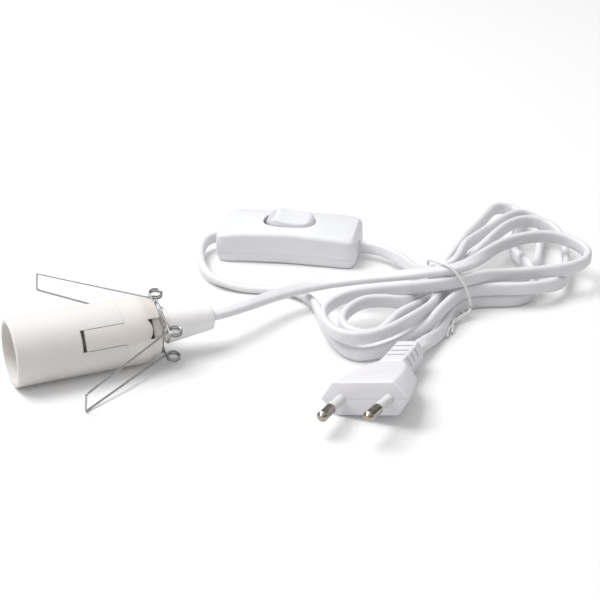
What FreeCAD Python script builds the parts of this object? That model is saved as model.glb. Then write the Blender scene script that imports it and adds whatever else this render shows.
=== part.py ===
# Salt lamp cord set: a small screw lamp holder with a two-armed spring clip lies on its side,
# a flat twin cord leads to an inline rocker switch, and the rest of the cord is wound into a
# tied hank that ends in a flat two-pin plug.
#
# Frame: millimetres, +Z up, floor at Z = 0. The holder's axis lies along X with its open mouth
# towards -X. The origin is the bottom centre of the box round the holder and its clip.
import FreeCAD, Part

import math
import os

import Sketcher

V = FreeCAD.Vector
doc = FreeCAD.newDocument("salt_lamp_cord_set")
sheet = doc.addObject("Spreadsheet::Sheet", "Sizes")

# Every driving dimension: its name and its value, in millimetres or degrees.
SIZES = [
    # lamp holder, measured along its axis from the mouth
    ("holder_radius", 13.0),
    ("holder_length", 79.3),
    ("shell_length", 41.5),
    ("shell_wall", 1.6),
    ("collar_start", 8.4),
    ("collar_thickness", 1.6),
    ("collar_width", 2.6),
    ("notch_length", 16.9),
    ("tongue_width", 7.9),
    ("tongue_end_gap", 1.5),
    ("tongue_side_gap", 0.2),
    ("holder_roll", 24.0),
    ("seat_gap", 0.05),
    # rear cap with its neck
    ("spigot_length", 3.0),
    ("spigot_wall", 1.4),
    ("cap_length", 14.4),
    ("cap_rear_wall", 2.6),
    ("dome_length", 5.9),
    ("dome_drop", 2.2),
    ("dome_round", 9.0),
    ("cutout_width", 7.6),
    ("cutout_depth", 5.3),
    ("cutout_bulge", 1.6),
    ("core_gap", 0.8),
    ("groove_width", 4.4),
    ("flange_height", 0.95),
    ("neck_end_radius", 5.0),
    ("neck_end_round", 0.9),
    ("cord_bore", 2.9),
    # lamp contacts
    ("thread_radius", 7.0),
    ("contact_sheet", 0.4),
    ("screw_shell_lip", 0.9),
    ("base_flange_gap", 0.1),
    ("base_flange_width", 2.0),
    ("base_floor", 3.0),
    ("contact_gap", 0.6),
    ("terminal_width", 4.4),
    ("terminal_length", 6.6),
    ("terminal_set_in", 1.35),
    ("terminal_height", 4.4),
    ("terminal_screw_radius", 1.2),
    ("contact_width", 4.0),
    ("contact_rise", 4.6),
    ("contact_reach", 4.6),
    ("core_wire_radius", 0.95),
    ("core_wire_offset", 1.0),
    ("jacket_behind_cap", 6.4),
    # spring clip, in the plane square to the holder's axis
    ("wire_radius", 0.4),
    ("ring_radius", 2.35),
    ("ring_pitch", 1.15),
    ("clip_roll", 14.9),
    ("hinge_behind_cap", 4.4),
    ("hinge_inset", 1.4),
    ("ring_height", 5.6),
    ("tip_height", 4.05),
    ("near_leg", 46.6),
    ("near_splay", 31.0),
    ("far_leg", 47.5),
    ("far_splay", 36.9),
    ("bar_offset", 8.2),
    ("wire_bend", 0.8),
    # inline rocker switch, its place measured from the foot of the neck's end
    ("switch_place_x", 63.3),
    ("switch_place_y", 71.8),
    ("switch_yaw", -32.6),
    ("switch_length", 61.0),
    ("switch_width", 29.0),
    ("switch_end_height", 11.6),
    ("switch_crown", 1.6),
    ("switch_split", 4.6),
    ("switch_wall", 1.8),
    ("switch_corner", 3.6),
    ("switch_top_round", 1.6),
    ("switch_foot_round", 1.0),
    ("cord_slot_width", 6.0),
    ("cord_slot_height", 4.6),
    ("cord_slot_place", 5.4),
    ("rocker_length", 22.0),
    ("rocker_width", 12.4),
    ("rocker_gap", 0.5),
    ("rocker_low", 15.4),
    ("rocker_high", 17.4),
    ("rocker_foot", 7.4),
    ("rocker_tilt", 7.0),
    ("pivot_height", 9.6),
    ("pivot_radius", 1.3),
    ("pivot_length", 1.5),
    ("pivot_gap", 0.3),
    # plug, its place measured from the foot of the neck's end
    ("plug_place_x", 29.2),
    ("plug_place_y", -76.7),
    ("plug_place_z", 8.9),
    ("plug_yaw", -48.0),
    ("plug_pitch", 5.8),
    ("plug_roll", 12.4),
    ("plug_width", 35.3),
    ("plug_flat", 23.7),
    ("plug_height", 13.0),
    ("plug_front_depth", 12.2),
    ("plug_front_width", 29.4),
    ("plug_front_flat", 20.6),
    ("plug_front_height", 11.0),
    ("plug_waist_depth", 19.6),
    ("plug_waist_width", 26.0),
    ("plug_waist_flat", 17.8),
    ("plug_waist_height", 10.2),
    ("plug_rear_depth", 25.1),
    ("plug_rear_width", 19.4),
    ("plug_rear_flat", 13.0),
    ("plug_rear_height", 9.9),
    ("plug_depth", 29.5),
    ("plug_back_flat", 7.6),
    ("plug_back_width", 12.4),
    ("plug_back_height", 9.6),
    ("relief_end_width", 6.6),
    ("relief_end_height", 5.4),
    ("relief_length", 16.0),
    ("relief_slot", 1.2),
    ("relief_slot_depth", 1.5),
    ("relief_slot_pitch", 3.4),
    ("pin_spacing_base", 18.6),
    ("pin_spacing_tip", 17.5),
    ("pin_radius", 2.0),
    ("pin_length", 19.0),
    ("pin_root", 10.0),
    ("pin_tip_round", 1.2),
    ("sleeve_radius", 1.83),
    ("sleeve_bore", 1.55),
    ("sleeve_length", 10.0),
    # cord and hank
    ("cord_radius", 2.1),
    ("hank_left_height", 15.0),
    ("hank_waist_height", 20.5),
    ("hank_right_height", 17.0),
    ("tie_radius", 0.55),
    ("tie_tail", 11.0),
]


class Size:
    """A value and the spreadsheet formula that gives it."""

    def __init__(self, value, formula):
        self.value = float(value)
        self.formula = formula

    @staticmethod
    def of(other):
        if isinstance(other, Size):
            return other
        return Size(other, repr(float(other)))

    def __add__(self, other):
        other = Size.of(other)
        return Size(self.value + other.value, "(%s + %s)" % (self.formula, other.formula))

    def __sub__(self, other):
        other = Size.of(other)
        return Size(self.value - other.value, "(%s - %s)" % (self.formula, other.formula))

    def __mul__(self, other):
        other = Size.of(other)
        return Size(self.value * other.value, "(%s * %s)" % (self.formula, other.formula))

    def __truediv__(self, other):
        other = Size.of(other)
        return Size(self.value / other.value, "(%s / %s)" % (self.formula, other.formula))

    def __neg__(self):
        return Size(-self.value, "(0 - %s)" % self.formula)

    def __radd__(self, other):
        return Size.of(other) + self

    def __rsub__(self, other):
        return Size.of(other) - self

    def __rmul__(self, other):
        return Size.of(other) * self


class Sizes:
    """The driving dimensions by name."""


d = Sizes()
for row, (alias, value) in enumerate(SIZES, start=1):
    cell = "B%d" % row
    sheet.set("A%d" % row, alias)
    sheet.set(cell, str(value))
    sheet.setAlias(cell, alias)
    setattr(d, alias, Size(value, "Sizes." + alias))
doc.recompute()

NOTHING = Size(0.0, "0")
nodes = []


def rad(size):
    return math.radians(size.value)


def bind(feature, prop, size):
    size = Size.of(size)
    setattr(feature, prop, size.value)
    feature.setExpression(prop, size.formula)


def keep(label, obj, placement=None):
    """Name a finished sub-part and put it where it belongs."""
    obj.Label = label
    if placement is not None:
        obj.Placement = placement
    nodes.append(obj)
    return obj


# ---- sketches and body features


def new_body(name):
    return doc.addObject("PartDesign::Body", name)


def origin_plane(body, role):
    for item in body.Origin.OriginFeatures:
        if item.Role == role:
            return item
    raise RuntimeError("no plane " + role)


def new_sketch(body, name, plane, offset=None):
    sketch = body.newObject("Sketcher::SketchObject", name)
    sketch.AttachmentSupport = [(origin_plane(body, plane), "")]
    sketch.MapMode = "FlatFace"
    if offset is not None:
        sketch.setExpression("AttachmentOffset.Base.z", Size.of(offset).formula)
    return sketch


def fix_point(sketch, geometry, place, u, v):
    for axis, size in (("DistanceX", u), ("DistanceY", v)):
        index = sketch.addConstraint(Sketcher.Constraint(axis, -1, 1, geometry, place, size.value))
        sketch.setExpression("Constraints[%d]" % index, size.formula)


def outline(sketch, points):
    """A closed outline of straight sides whose corners are bound to the sizes."""
    points = [(Size.of(u), Size.of(v)) for u, v in points]
    first = sketch.GeometryCount
    count = len(points)
    for k in range(count):
        start = points[k]
        end = points[(k + 1) % count]
        line = Part.LineSegment(V(start[0].value, start[1].value, 0), V(end[0].value, end[1].value, 0))
        sketch.addGeometry(line, False)
    for k in range(count):
        following = first + (k + 1) % count
        sketch.addConstraint(Sketcher.Constraint("Coincident", first + k, 2, following, 1))
    for k, (u, v) in enumerate(points):
        fix_point(sketch, first + k, 1, u, v)
    return sketch


def rectangle(sketch, low_u, high_u, low_v, high_v):
    corners = [(low_u, low_v), (high_u, low_v), (high_u, high_v), (low_u, high_v)]
    return outline(sketch, corners)


def round_hole(sketch, u, v, radius):
    u, v, radius = Size.of(u), Size.of(v), Size.of(radius)
    index = sketch.addGeometry(Part.Circle(V(u.value, v.value, 0), V(0, 0, 1), radius.value), False)
    fix_point(sketch, index, 3, u, v)
    held = sketch.addConstraint(Sketcher.Constraint("Radius", index, radius.value))
    sketch.setExpression("Constraints[%d]" % held, radius.formula)
    return sketch


def revolve(body, name, points):
    """Turn an outline given as (place along X, radius) about the X axis."""
    sketch = outline(new_sketch(body, name + "_profile", "XY_Plane"), points)
    turned = body.newObject("PartDesign::Revolution", name)
    turned.Profile = sketch
    turned.ReferenceAxis = (sketch, ["H_Axis"])
    turned.Angle = 360.0
    doc.recompute()
    return turned


def pad(body, name, sketch, length, symmetric=False, reverse=False):
    feature = body.newObject("PartDesign::Pad", name)
    feature.Profile = sketch
    feature.SideType = "Symmetric" if symmetric else "One side"
    feature.Reversed = reverse
    bind(feature, "Length", length)
    doc.recompute()
    return feature


def pocket(body, name, sketch, length, symmetric=False, reverse=False):
    """Cut the sketch's shape out, and check that something was cut."""
    before = body.Shape.Volume
    feature = body.newObject("PartDesign::Pocket", name)
    feature.Profile = sketch
    feature.SideType = "Symmetric" if symmetric else "One side"
    feature.Reversed = reverse
    bind(feature, "Length", length)
    doc.recompute()
    if not feature.Shape.Volume < before - 1e-6:
        raise RuntimeError(name + " cuts nothing")
    return feature


def round_edges(body, name, radius, test):
    """Fillet every edge of the body that the test picks."""
    doc.recompute()
    base = body.Tip
    picked = []
    for number, edge in enumerate(base.Shape.Edges, start=1):
        if test(edge):
            picked.append("Edge%d" % number)
    if not picked:
        raise RuntimeError(name + " finds no edge")
    feature = body.newObject("PartDesign::Fillet", name)
    feature.Base = (base, picked)
    bind(feature, "Radius", radius)
    doc.recompute()
    return feature


def circle_at(place, radius):
    """Picks the full circle of this radius at this place along X."""
    def test(edge):
        curve = edge.Curve
        if not isinstance(curve, Part.Circle):
            return False
        near = abs(curve.Center.x - place.value) < 1e-4
        return near and abs(curve.Radius - radius.value) < 1e-4
    return test


def box_edges(low, high, axis=None):
    """Picks the edges inside a box, optionally only those along one axis."""
    def test(edge):
        bound = edge.BoundBox
        inside = bound.XMin >= low[0] and bound.XMax <= high[0]
        inside = inside and bound.YMin >= low[1] and bound.YMax <= high[1]
        inside = inside and bound.ZMin >= low[2] and bound.ZMax <= high[2]
        if not inside or axis is None:
            return inside
        spans = {"x": bound.XLength, "y": bound.YLength, "z": bound.ZLength}
        others = [size for key, size in spans.items() if key != axis]
        return max(others) < 1e-4 and spans[axis] > 1e-4
    return test


def solid_feature(label, shape, placement):
    feature = doc.addObject("Part::Feature", label)
    feature.Shape = shape
    return keep(label, feature, placement)


# ---- wires and cords


def tangent_arcs(points, radii=None, closed=False):
    """Straight runs joined by tangent arcs, as edges. Without radii each arc is as large as its runs allow."""
    count = len(points)
    inner = range(count) if closed else range(1, count - 1)
    cuts = {}
    used = []
    for k in inner:
        before = points[k - 1] - points[k]
        after = points[(k + 1) % count] - points[k]
        turn = math.pi - before.getAngle(after)
        shorter = min(before.Length, after.Length)
        radius = 0.45 * shorter / math.tan(turn / 2)
        if radii is not None and turn > 0.5:
            radius = min(radius, radii)
        setback = radius * math.tan(turn / 2)
        start = points[k] + before.normalize() * setback
        end = points[k] + after.normalize() * setback
        towards = (before + after).normalize()
        centre = points[k] + towards * (radius / math.cos(turn / 2))
        cuts[k] = (start, centre - towards * radius, end)
        used.append(radius)
    edges = []
    runs = range(count) if closed else range(count - 1)
    for k in runs:
        following = (k + 1) % count
        start = cuts[k][2] if k in cuts else points[k]
        end = cuts[following][0] if following in cuts else points[following]
        edges.append(Part.LineSegment(start, end).toShape())
        if following in cuts:
            edges.append(Part.Arc(*cuts[following]).toShape())
    return edges, used


def sweep_round(edges, radius):
    """A round rod along the edges."""
    path = Part.Wire(edges)
    first = path.Edges[0]
    start = first.valueAt(first.FirstParameter)
    along = first.tangentAt(first.FirstParameter)
    section = Part.Wire([Part.Circle(start, along, radius).toShape()])
    return path.makePipeShell([section], True, True)


def cord_tube(label, points, radius):
    """A cord's plain tube, with its volume checked against its section times its length."""
    edges, used = tangent_arcs(points)
    tube = sweep_round(edges, radius)
    length = sum(edge.Length for edge in edges)
    expected = math.pi * radius ** 2 * length
    smallest = min(used)
    print("%s: %.1f mm, arc radii %s" % (label, length, ", ".join("%.1f" % r for r in used)))
    if abs(tube.Volume - expected) > 0.01 * expected or smallest < 3 * 2 * radius * 0.99:
        print("  look at %s: volume %.1f of %.1f" % (label, tube.Volume, expected))
    return solid_feature(label, tube, FreeCAD.Placement())


# ---- places that several pieces share

BORE = d.holder_radius - d.shell_wall
CAP_END = d.shell_length + d.cap_length
HINGE_PLACE = CAP_END + d.hinge_behind_cap
HINGE_OFFSET = d.holder_radius - d.hinge_inset

# ---- places of the assemblies


def wire_point(along, out, up):
    """A point of the clip: along the holder's axis, out towards the near side, and up its hinges."""
    return V(along, -out, up)


def arm_tip(leg, splay, side):
    """The hairpin's bend as (along, out), for the arm on one side of the holder."""
    angle = rad(splay)
    along = HINGE_PLACE.value - d.ring_radius.value * math.sin(angle) - leg.value * math.cos(angle)
    out = HINGE_OFFSET.value - d.ring_radius.value * math.cos(angle) + leg.value * math.sin(angle)
    return along, out * side


def holder_frame_shift():
    """Puts the origin at the bottom centre of the box round the holder and its clip."""
    roll = rad(d.clip_roll)
    reach = []
    for leg, splay, side in ((d.near_leg, d.near_splay, 1), (d.far_leg, d.far_splay, -1)):
        out = arm_tip(leg, splay, side)[1]
        for up in (-d.tip_height.value, d.tip_height.value):
            reach.append(-out * math.cos(roll) - up * math.sin(roll))
    low = min(reach) - d.wire_radius.value
    high = max(reach) + d.wire_radius.value
    return V(-d.holder_length.value / 2, -(low + high) / 2, 0)


SHIFT = holder_frame_shift()
AXIS_PLACE = SHIFT + V(0, 0, d.holder_radius.value)
along_x = V(1, 0, 0)
holder_place = FreeCAD.Placement(AXIS_PLACE, FreeCAD.Rotation(along_x, -d.holder_roll.value))
clip_place = FreeCAD.Placement(AXIS_PLACE, FreeCAD.Rotation(along_x, d.clip_roll.value))
NECK_FOOT = SHIFT + V(d.holder_length.value, 0, 0)
switch_place = FreeCAD.Placement(
    NECK_FOOT + V(d.switch_place_x.value, d.switch_place_y.value, 0),
    FreeCAD.Rotation(V(0, 0, 1), d.switch_yaw.value),
)


def plug_axes():
    """Width, depth towards the cord, and up, of the plug as it lies."""
    yaw, pitch, roll = rad(d.plug_yaw), rad(d.plug_pitch), rad(d.plug_roll)
    pins = V(math.sin(yaw) * math.cos(pitch), -math.cos(yaw) * math.cos(pitch), math.sin(pitch))
    level = V(math.cos(yaw), math.sin(yaw), 0)
    above = level.cross(-pins)
    width = level * math.cos(roll) + above * math.sin(roll)
    up = above * math.cos(roll) - level * math.sin(roll)
    return width, -pins, up


plug_x, plug_y, plug_z = plug_axes()
plug_centre = NECK_FOOT + V(d.plug_place_x.value, d.plug_place_y.value, d.plug_place_z.value)
plug_matrix = FreeCAD.Matrix(
    plug_x.x, plug_y.x, plug_z.x, plug_centre.x,
    plug_x.y, plug_y.y, plug_z.y, plug_centre.y,
    plug_x.z, plug_y.z, plug_z.z, plug_centre.z,
    0, 0, 0, 1,
)
plug_place = FreeCAD.Placement(plug_matrix)

# ---- lamp holder

SLOT_HALF = d.tongue_width / 2 + d.tongue_side_gap
NOTCH_START = d.shell_length - d.notch_length
TONGUE_START = NOTCH_START + d.tongue_end_gap
GROOVE_END = CAP_END + d.groove_width
GROOVE_RADIUS = d.ring_height + d.ring_pitch - d.wire_radius - d.seat_gap
COLLAR_END = d.collar_start + d.collar_thickness
BASE_START = COLLAR_END + d.seat_gap
SPIGOT_START = d.shell_length - d.spigot_length
BASE_END = SPIGOT_START - d.seat_gap
POCKET_FLOOR = BASE_END - d.terminal_length - d.terminal_set_in
SHELL_BACK = POCKET_FLOOR - d.base_floor - d.seat_gap
CONTACT_FOOT = SHELL_BACK + d.seat_gap
SHELL_END = CONTACT_FOOT - d.contact_rise - d.contact_sheet - d.contact_gap
SLEEVE_RADIUS = d.thread_radius + d.contact_sheet
LIP_RADIUS = d.thread_radius + d.screw_shell_lip
BASE_RADIUS = (BORE + SLEEVE_RADIUS) / 2
COLLAR_BORE = BORE - d.collar_width
TERMINAL_OFFSET = BASE_RADIUS * 0.46
TERMINAL_ROOF = BASE_RADIUS * 0.62
CAVITY_RADIUS = BORE - d.spigot_wall
CORE_RADIUS = CAVITY_RADIUS - d.core_gap
DOME_END_RADIUS = d.holder_radius - d.dome_drop
JACKET_END = CAP_END + d.jacket_behind_cap


def front_shell():
    """The tube round the lamp socket, with a collar inside and two notches at its rear."""
    body = new_body("front_shell_body")
    revolve(body, "shell_wall_turned", [
        (NOTHING, BORE),
        (NOTHING, d.holder_radius),
        (d.shell_length, d.holder_radius),
        (d.shell_length, BORE),
        (COLLAR_END, BORE),
        (COLLAR_END, COLLAR_BORE),
        (d.collar_start, COLLAR_BORE),
        (d.collar_start, BORE),
    ])
    round_edges(body, "mouth_rim", d.shell_wall * 0.35, circle_at(NOTHING, d.holder_radius))
    notch = new_sketch(body, "notch_outline", "XZ_Plane")
    rectangle(notch, NOTCH_START, d.shell_length + 1.0, -SLOT_HALF, SLOT_HALF)
    pocket(body, "notches", notch, d.holder_radius * 2 + 2.0, symmetric=True)
    return keep("front_shell", body, holder_place)


def rear_cap():
    """The domed cap: two tongues fill the shell's notches, and its neck grips the cord."""
    body = new_body("rear_cap_body")
    revolve(body, "tongue_ring", [
        (TONGUE_START, BORE + d.seat_gap),
        (TONGUE_START, d.holder_radius),
        (d.shell_length + 1.0, d.holder_radius),
        (d.shell_length + 1.0, BORE + d.seat_gap),
    ])
    beside = new_sketch(body, "beside_tongues", "XZ_Plane")
    outer = d.holder_radius + 1.0
    rectangle(beside, TONGUE_START - 1.0, d.shell_length + d.seat_gap, d.tongue_width / 2, outer)
    rectangle(beside, TONGUE_START - 1.0, d.shell_length + d.seat_gap, -outer, -(d.tongue_width / 2))
    pocket(body, "tongue_sides", beside, outer * 2, symmetric=True)
    inner = CAP_END - d.cap_rear_wall
    revolve(body, "cap_dome", [
        (d.shell_length + d.seat_gap, BORE - d.seat_gap),
        (d.shell_length + d.seat_gap, d.holder_radius),
        (CAP_END - d.dome_length, d.holder_radius),
        (CAP_END, DOME_END_RADIUS),
        (CAP_END, d.cord_bore),
        (inner, d.cord_bore),
        (inner, CAVITY_RADIUS),
        (SPIGOT_START, CAVITY_RADIUS),
        (SPIGOT_START, BORE - d.seat_gap),
    ])
    round_edges(body, "dome_shoulder", d.dome_round, circle_at(CAP_END - d.dome_length, d.holder_radius))
    cutout = new_sketch(body, "cutout_outline", "XZ_Plane")
    half = d.cutout_width / 2
    front = CAP_END - d.cutout_depth
    outline(cutout, [
        (front, -half),
        (CAP_END + 1.0, -half),
        (CAP_END + 1.0, half),
        (front, half),
        (front + d.cutout_bulge * 0.72, half * 0.5),
        (front + d.cutout_bulge, NOTHING),
        (front + d.cutout_bulge * 0.72, -(half * 0.5)),
    ])
    pocket(body, "clip_cutouts", cutout, outer * 2, symmetric=True)
    revolve(body, "core_and_neck", [
        (inner, d.cord_bore),
        (inner, CORE_RADIUS),
        (CAP_END, CORE_RADIUS),
        (CAP_END, GROOVE_RADIUS),
        (GROOVE_END, GROOVE_RADIUS),
        (GROOVE_END, GROOVE_RADIUS + d.flange_height),
        (d.holder_length, d.neck_end_radius),
        (d.holder_length, d.cord_bore),
    ])
    round_edges(body, "neck_end", d.neck_end_round, circle_at(d.holder_length, d.neck_end_radius))
    return keep("rear_cap", body, holder_place)


def screw_shell():
    """The lamp's threaded sleeve in plain form: a thin brass tube with a lip and an inturned foot."""
    body = new_body("screw_shell_body")
    outer = SLEEVE_RADIUS
    front = BASE_START
    foot = d.thread_radius - 2.0
    revolve(body, "sleeve", [
        (front, d.thread_radius),
        (front, LIP_RADIUS),
        (front + d.contact_sheet, LIP_RADIUS),
        (front + d.contact_sheet, outer),
        (SHELL_END, outer),
        (SHELL_END, foot),
        (SHELL_END - d.contact_sheet, foot),
        (SHELL_END - d.contact_sheet, d.thread_radius),
    ])
    return keep("screw_shell", body, holder_place)


def contact_base():
    """The insulating insert: a cup round the screw shell, a floor, and pockets for the terminals."""
    body = new_body("contact_base_body")
    bore = SLEEVE_RADIUS + d.seat_gap
    lip_room = LIP_RADIUS + d.seat_gap
    lip_end = BASE_START + d.contact_sheet + d.seat_gap
    flange = BASE_END - d.base_flange_width
    revolve(body, "base_turned", [
        (BASE_START, lip_room),
        (BASE_START, BASE_RADIUS),
        (flange, BASE_RADIUS),
        (flange, BORE - d.base_flange_gap),
        (BASE_END, BORE - d.base_flange_gap),
        (BASE_END, NOTHING),
        (CONTACT_FOOT, NOTHING),
        (CONTACT_FOOT, bore),
        (lip_end, bore),
        (lip_end, lip_room),
    ])
    room = d.terminal_width / 2 + d.seat_gap
    pockets = new_sketch(body, "terminal_rooms", "YZ_Plane", BASE_END)
    low = -(d.terminal_height / 2) - d.seat_gap
    for side in (-1, 1):
        middle = TERMINAL_OFFSET * side
        rectangle(pockets, middle - room, middle + room, low, TERMINAL_ROOF)
    pocket(body, "terminal_pockets", pockets, BASE_END - POCKET_FLOOR)
    return keep("contact_base", body, holder_place)


def centre_contact():
    """A bent brass tongue that presses on the lamp's foot."""
    body = new_body("centre_contact_body")
    foot = CONTACT_FOOT
    sheet_t = d.contact_sheet
    strip = new_sketch(body, "tongue_outline", "XZ_Plane")
    reach = d.contact_reach
    rise = d.contact_rise
    outline(strip, [
        (foot, -reach),
        (foot, reach / 2),
        (foot - sheet_t, reach / 2),
        (foot - sheet_t, -reach + sheet_t * 2),
        (foot - rise, reach / 4),
        (foot - rise, reach / 2),
        (foot - rise - sheet_t, reach / 2),
        (foot - rise - sheet_t, reach / 4 - sheet_t / 2),
        (foot - sheet_t * 2, -reach),
    ])
    pad(body, "tongue", strip, d.contact_width, symmetric=True)
    return keep("centre_contact", body, holder_place)


def boxed(name, label, x, y, z, length, width, height, place):
    """A block given by the sizes of its low corner and its sides, placed with its assembly."""
    block = doc.addObject("Part::Box", name)
    bind(block, "Length", length)
    bind(block, "Width", width)
    bind(block, "Height", height)
    corner = V(Size.of(x).value, Size.of(y).value, Size.of(z).value)
    block.Placement = place.multiply(FreeCAD.Placement(corner, FreeCAD.Rotation()))
    block.Label = label
    return block


def rod_between(start, end, radius):
    """A plain round rod as a shape."""
    along = end - start
    return Part.makeCylinder(radius, along.Length, start, along)


def headed_screw(foot, along, shank, length, head, head_height):
    """A screw as a shape: a shank, a round head with a slot across it."""
    tip = foot + along * length
    screw = rod_between(foot, tip, shank)
    top = tip + along * head_height
    screw = screw.fuse(rod_between(tip, top, head))
    across = along.cross(V(1, 0, 0))
    if across.Length < 0.5:
        across = along.cross(V(0, 1, 0))
    slot = Part.makeBox(head * 2.4, 0.5, 0.6, V(-head * 1.2, -0.25, -0.6))
    turned = FreeCAD.Rotation(V(0, 0, 1), along)
    slot.Placement = FreeCAD.Placement(top, turned)
    return screw.cut(slot)


def holder_terminals():
    """Two brass blocks, each with a hole for the core and one for its screw, and the two screws."""
    start = POCKET_FLOOR.value + d.seat_gap.value
    height = d.terminal_height.value
    wide = d.terminal_width.value
    length = d.terminal_length.value
    blocks = []
    screws = []
    for side in (-1, 1):
        y = side * TERMINAL_OFFSET.value
        block = Part.makeBox(length, wide, height, V(start, y - wide / 2, -height / 2))
        wire_hole = rod_between(V(start + length / 3, y, 0), V(start + length + 1, y, 0), 1.1)
        middle = V(start + length / 2, y, 0)
        thread = rod_between(middle, middle + V(0, 0, height), d.terminal_screw_radius.value)
        blocks.append(block.cut(wire_hole).cut(thread))
        foot = middle + V(0, 0, 1.2)
        shank = d.terminal_screw_radius.value - 0.02
        screws.append(headed_screw(foot, V(0, 0, 1), shank, height / 2 - 1.2 + 0.4, 1.9, 1.3))
    solid_feature("holder_terminals", Part.makeCompound(blocks), holder_place)
    solid_feature("holder_terminal_screws", Part.makeCompound(screws), holder_place)


def core_wires():
    """The lamp cord's two cores, from the end of its jacket in the neck to the terminals."""
    start = JACKET_END.value
    mouth = CAP_END.value - d.cap_rear_wall.value
    stop = POCKET_FLOOR.value + d.seat_gap.value + d.terminal_length.value + d.seat_gap.value
    spread = TERMINAL_OFFSET.value
    close = d.core_wire_offset.value
    cores = []
    for side in (-1, 1):
        points = [
            V(start, side * close, 0),
            V(mouth + 0.6, side * close, 0),
            V(stop + (mouth - stop) * 0.35, side * spread, 0),
            V(stop, side * spread, 0),
        ]
        edges, used = tangent_arcs(points, 6.0)
        cores.append(sweep_round(edges, d.core_wire_radius.value))
    solid_feature("core_wires", Part.makeCompound(cores), holder_place)


front_shell()
rear_cap()
screw_shell()
contact_base()
centre_contact()
holder_terminals()
core_wires()

# ---- spring clip

FAR_BAR_X = CAP_END + d.wire_radius + 0.75
NEAR_BAR_X = FAR_BAR_X + 2.25
FRAME_HEIGHT = d.ring_height + d.ring_pitch


def ring_turn(turn, touch, side, up, inward):
    """An open coil turn in a leg's plane. It ends where the leg touches it, or starts there."""
    centre = wire_point(HINGE_PLACE.value, side * HINGE_OFFSET.value, up)
    radius = d.ring_radius.value
    angle = math.atan2(touch.y - centre.y, touch.x - centre.x)
    spots = []
    for opening in (0, 170, 325):
        here = angle - turn * math.radians(opening)
        spots.append(centre + V(radius * math.cos(here), radius * math.sin(here), 0))
    if inward:
        spots.reverse()
    return Part.Arc(*spots).toShape()


def touch_point(point, centre, radius, turn):
    """Where a line from a point outside touches a circle, on the side that the turn names."""
    to_centre = centre - point
    base = math.atan2(to_centre.y, to_centre.x)
    lean = math.asin(radius / to_centre.Length)
    length = math.sqrt(to_centre.Length ** 2 - radius ** 2)
    angle = base + turn * lean
    return point + V(length * math.cos(angle), length * math.sin(angle), 0)


def clip_wire(label, side, turn, level, points):
    """A round wire that starts and ends in a coil turn, with the given points between them."""
    edges, used = tangent_arcs(points, d.wire_bend.value)
    first = ring_turn(turn, points[0], side, level, True)
    last = ring_turn(turn, points[-1], side, -level, False)
    wire = sweep_round([first] + edges + [last], d.wire_radius.value)
    solid_feature(label, wire, clip_place)


def clip_arm(label, side, leg, splay):
    """A hairpin of wire whose two ends each take one coil turn round the hinge line."""
    tip_along, tip_out = arm_tip(leg, splay, side)
    angle = rad(splay)
    root_along = HINGE_PLACE.value - d.ring_radius.value * math.sin(angle)
    root_out = side * (HINGE_OFFSET.value - d.ring_radius.value * math.cos(angle))
    level = d.ring_height.value
    tip_level = d.tip_height.value
    share = 3.0 / leg.value
    near_along = root_along + (tip_along - root_along) * share
    near_out = root_out + (tip_out - root_out) * share
    clip_wire(label, side, side, level, [
        wire_point(root_along, root_out, level),
        wire_point(near_along, near_out, level),
        wire_point(tip_along, tip_out, tip_level),
        wire_point(tip_along, tip_out, -tip_level),
        wire_point(near_along, near_out, -level),
        wire_point(root_along, root_out, -level),
    ])


def clip_frame(label, side, place):
    """The same wire's still half: a coil turn each side, two straights past the neck and a cross bar."""
    level = FRAME_HEIGHT.value
    half = []
    for up in (level, -level):
        corner = wire_point(place.value, -side * d.bar_offset.value, up)
        centre = wire_point(HINGE_PLACE.value, side * HINGE_OFFSET.value, up)
        touch = touch_point(corner, centre, d.ring_radius.value, -side)
        half.append([touch, corner])
    clip_wire(label, side, -side, level, half[0] + half[1][::-1])


clip_arm("near_clip_arm", 1, d.near_leg, d.near_splay)
clip_frame("near_clip_frame", 1, NEAR_BAR_X)
clip_arm("far_clip_arm", -1, d.far_leg, d.far_splay)
clip_frame("far_clip_frame", -1, FAR_BAR_X)

# ---- inline switch

HALF_LENGTH = d.switch_length / 2
HALF_WIDTH = d.switch_width / 2
ROOM_LENGTH = HALF_LENGTH - d.switch_wall
ROOM_WIDTH = HALF_WIDTH - d.switch_wall
WINDOW_LENGTH = d.rocker_length / 2 + d.rocker_gap
WINDOW_WIDTH = d.rocker_width / 2 + d.rocker_gap
BEARING_WALL = 1.4
SCREW_SPOT = (22.3, 11.0)


def cord_slots(body):
    """A slot through both end walls for the flat cord."""
    slot = new_sketch(body, "cord_slot_outline", "YZ_Plane")
    half = d.cord_slot_width / 2
    low = d.cord_slot_place - d.cord_slot_height / 2
    rectangle(slot, -half, half, low, low + d.cord_slot_height)
    pocket(body, "cord_slots", slot, d.switch_length + 2.0, symmetric=True)


def corner_edges(low, high):
    size = 0.01
    return box_edges(
        (-HALF_LENGTH.value - size, -HALF_WIDTH.value - size, low - size),
        (HALF_LENGTH.value + size, HALF_WIDTH.value + size, high + size), "z")


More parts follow.
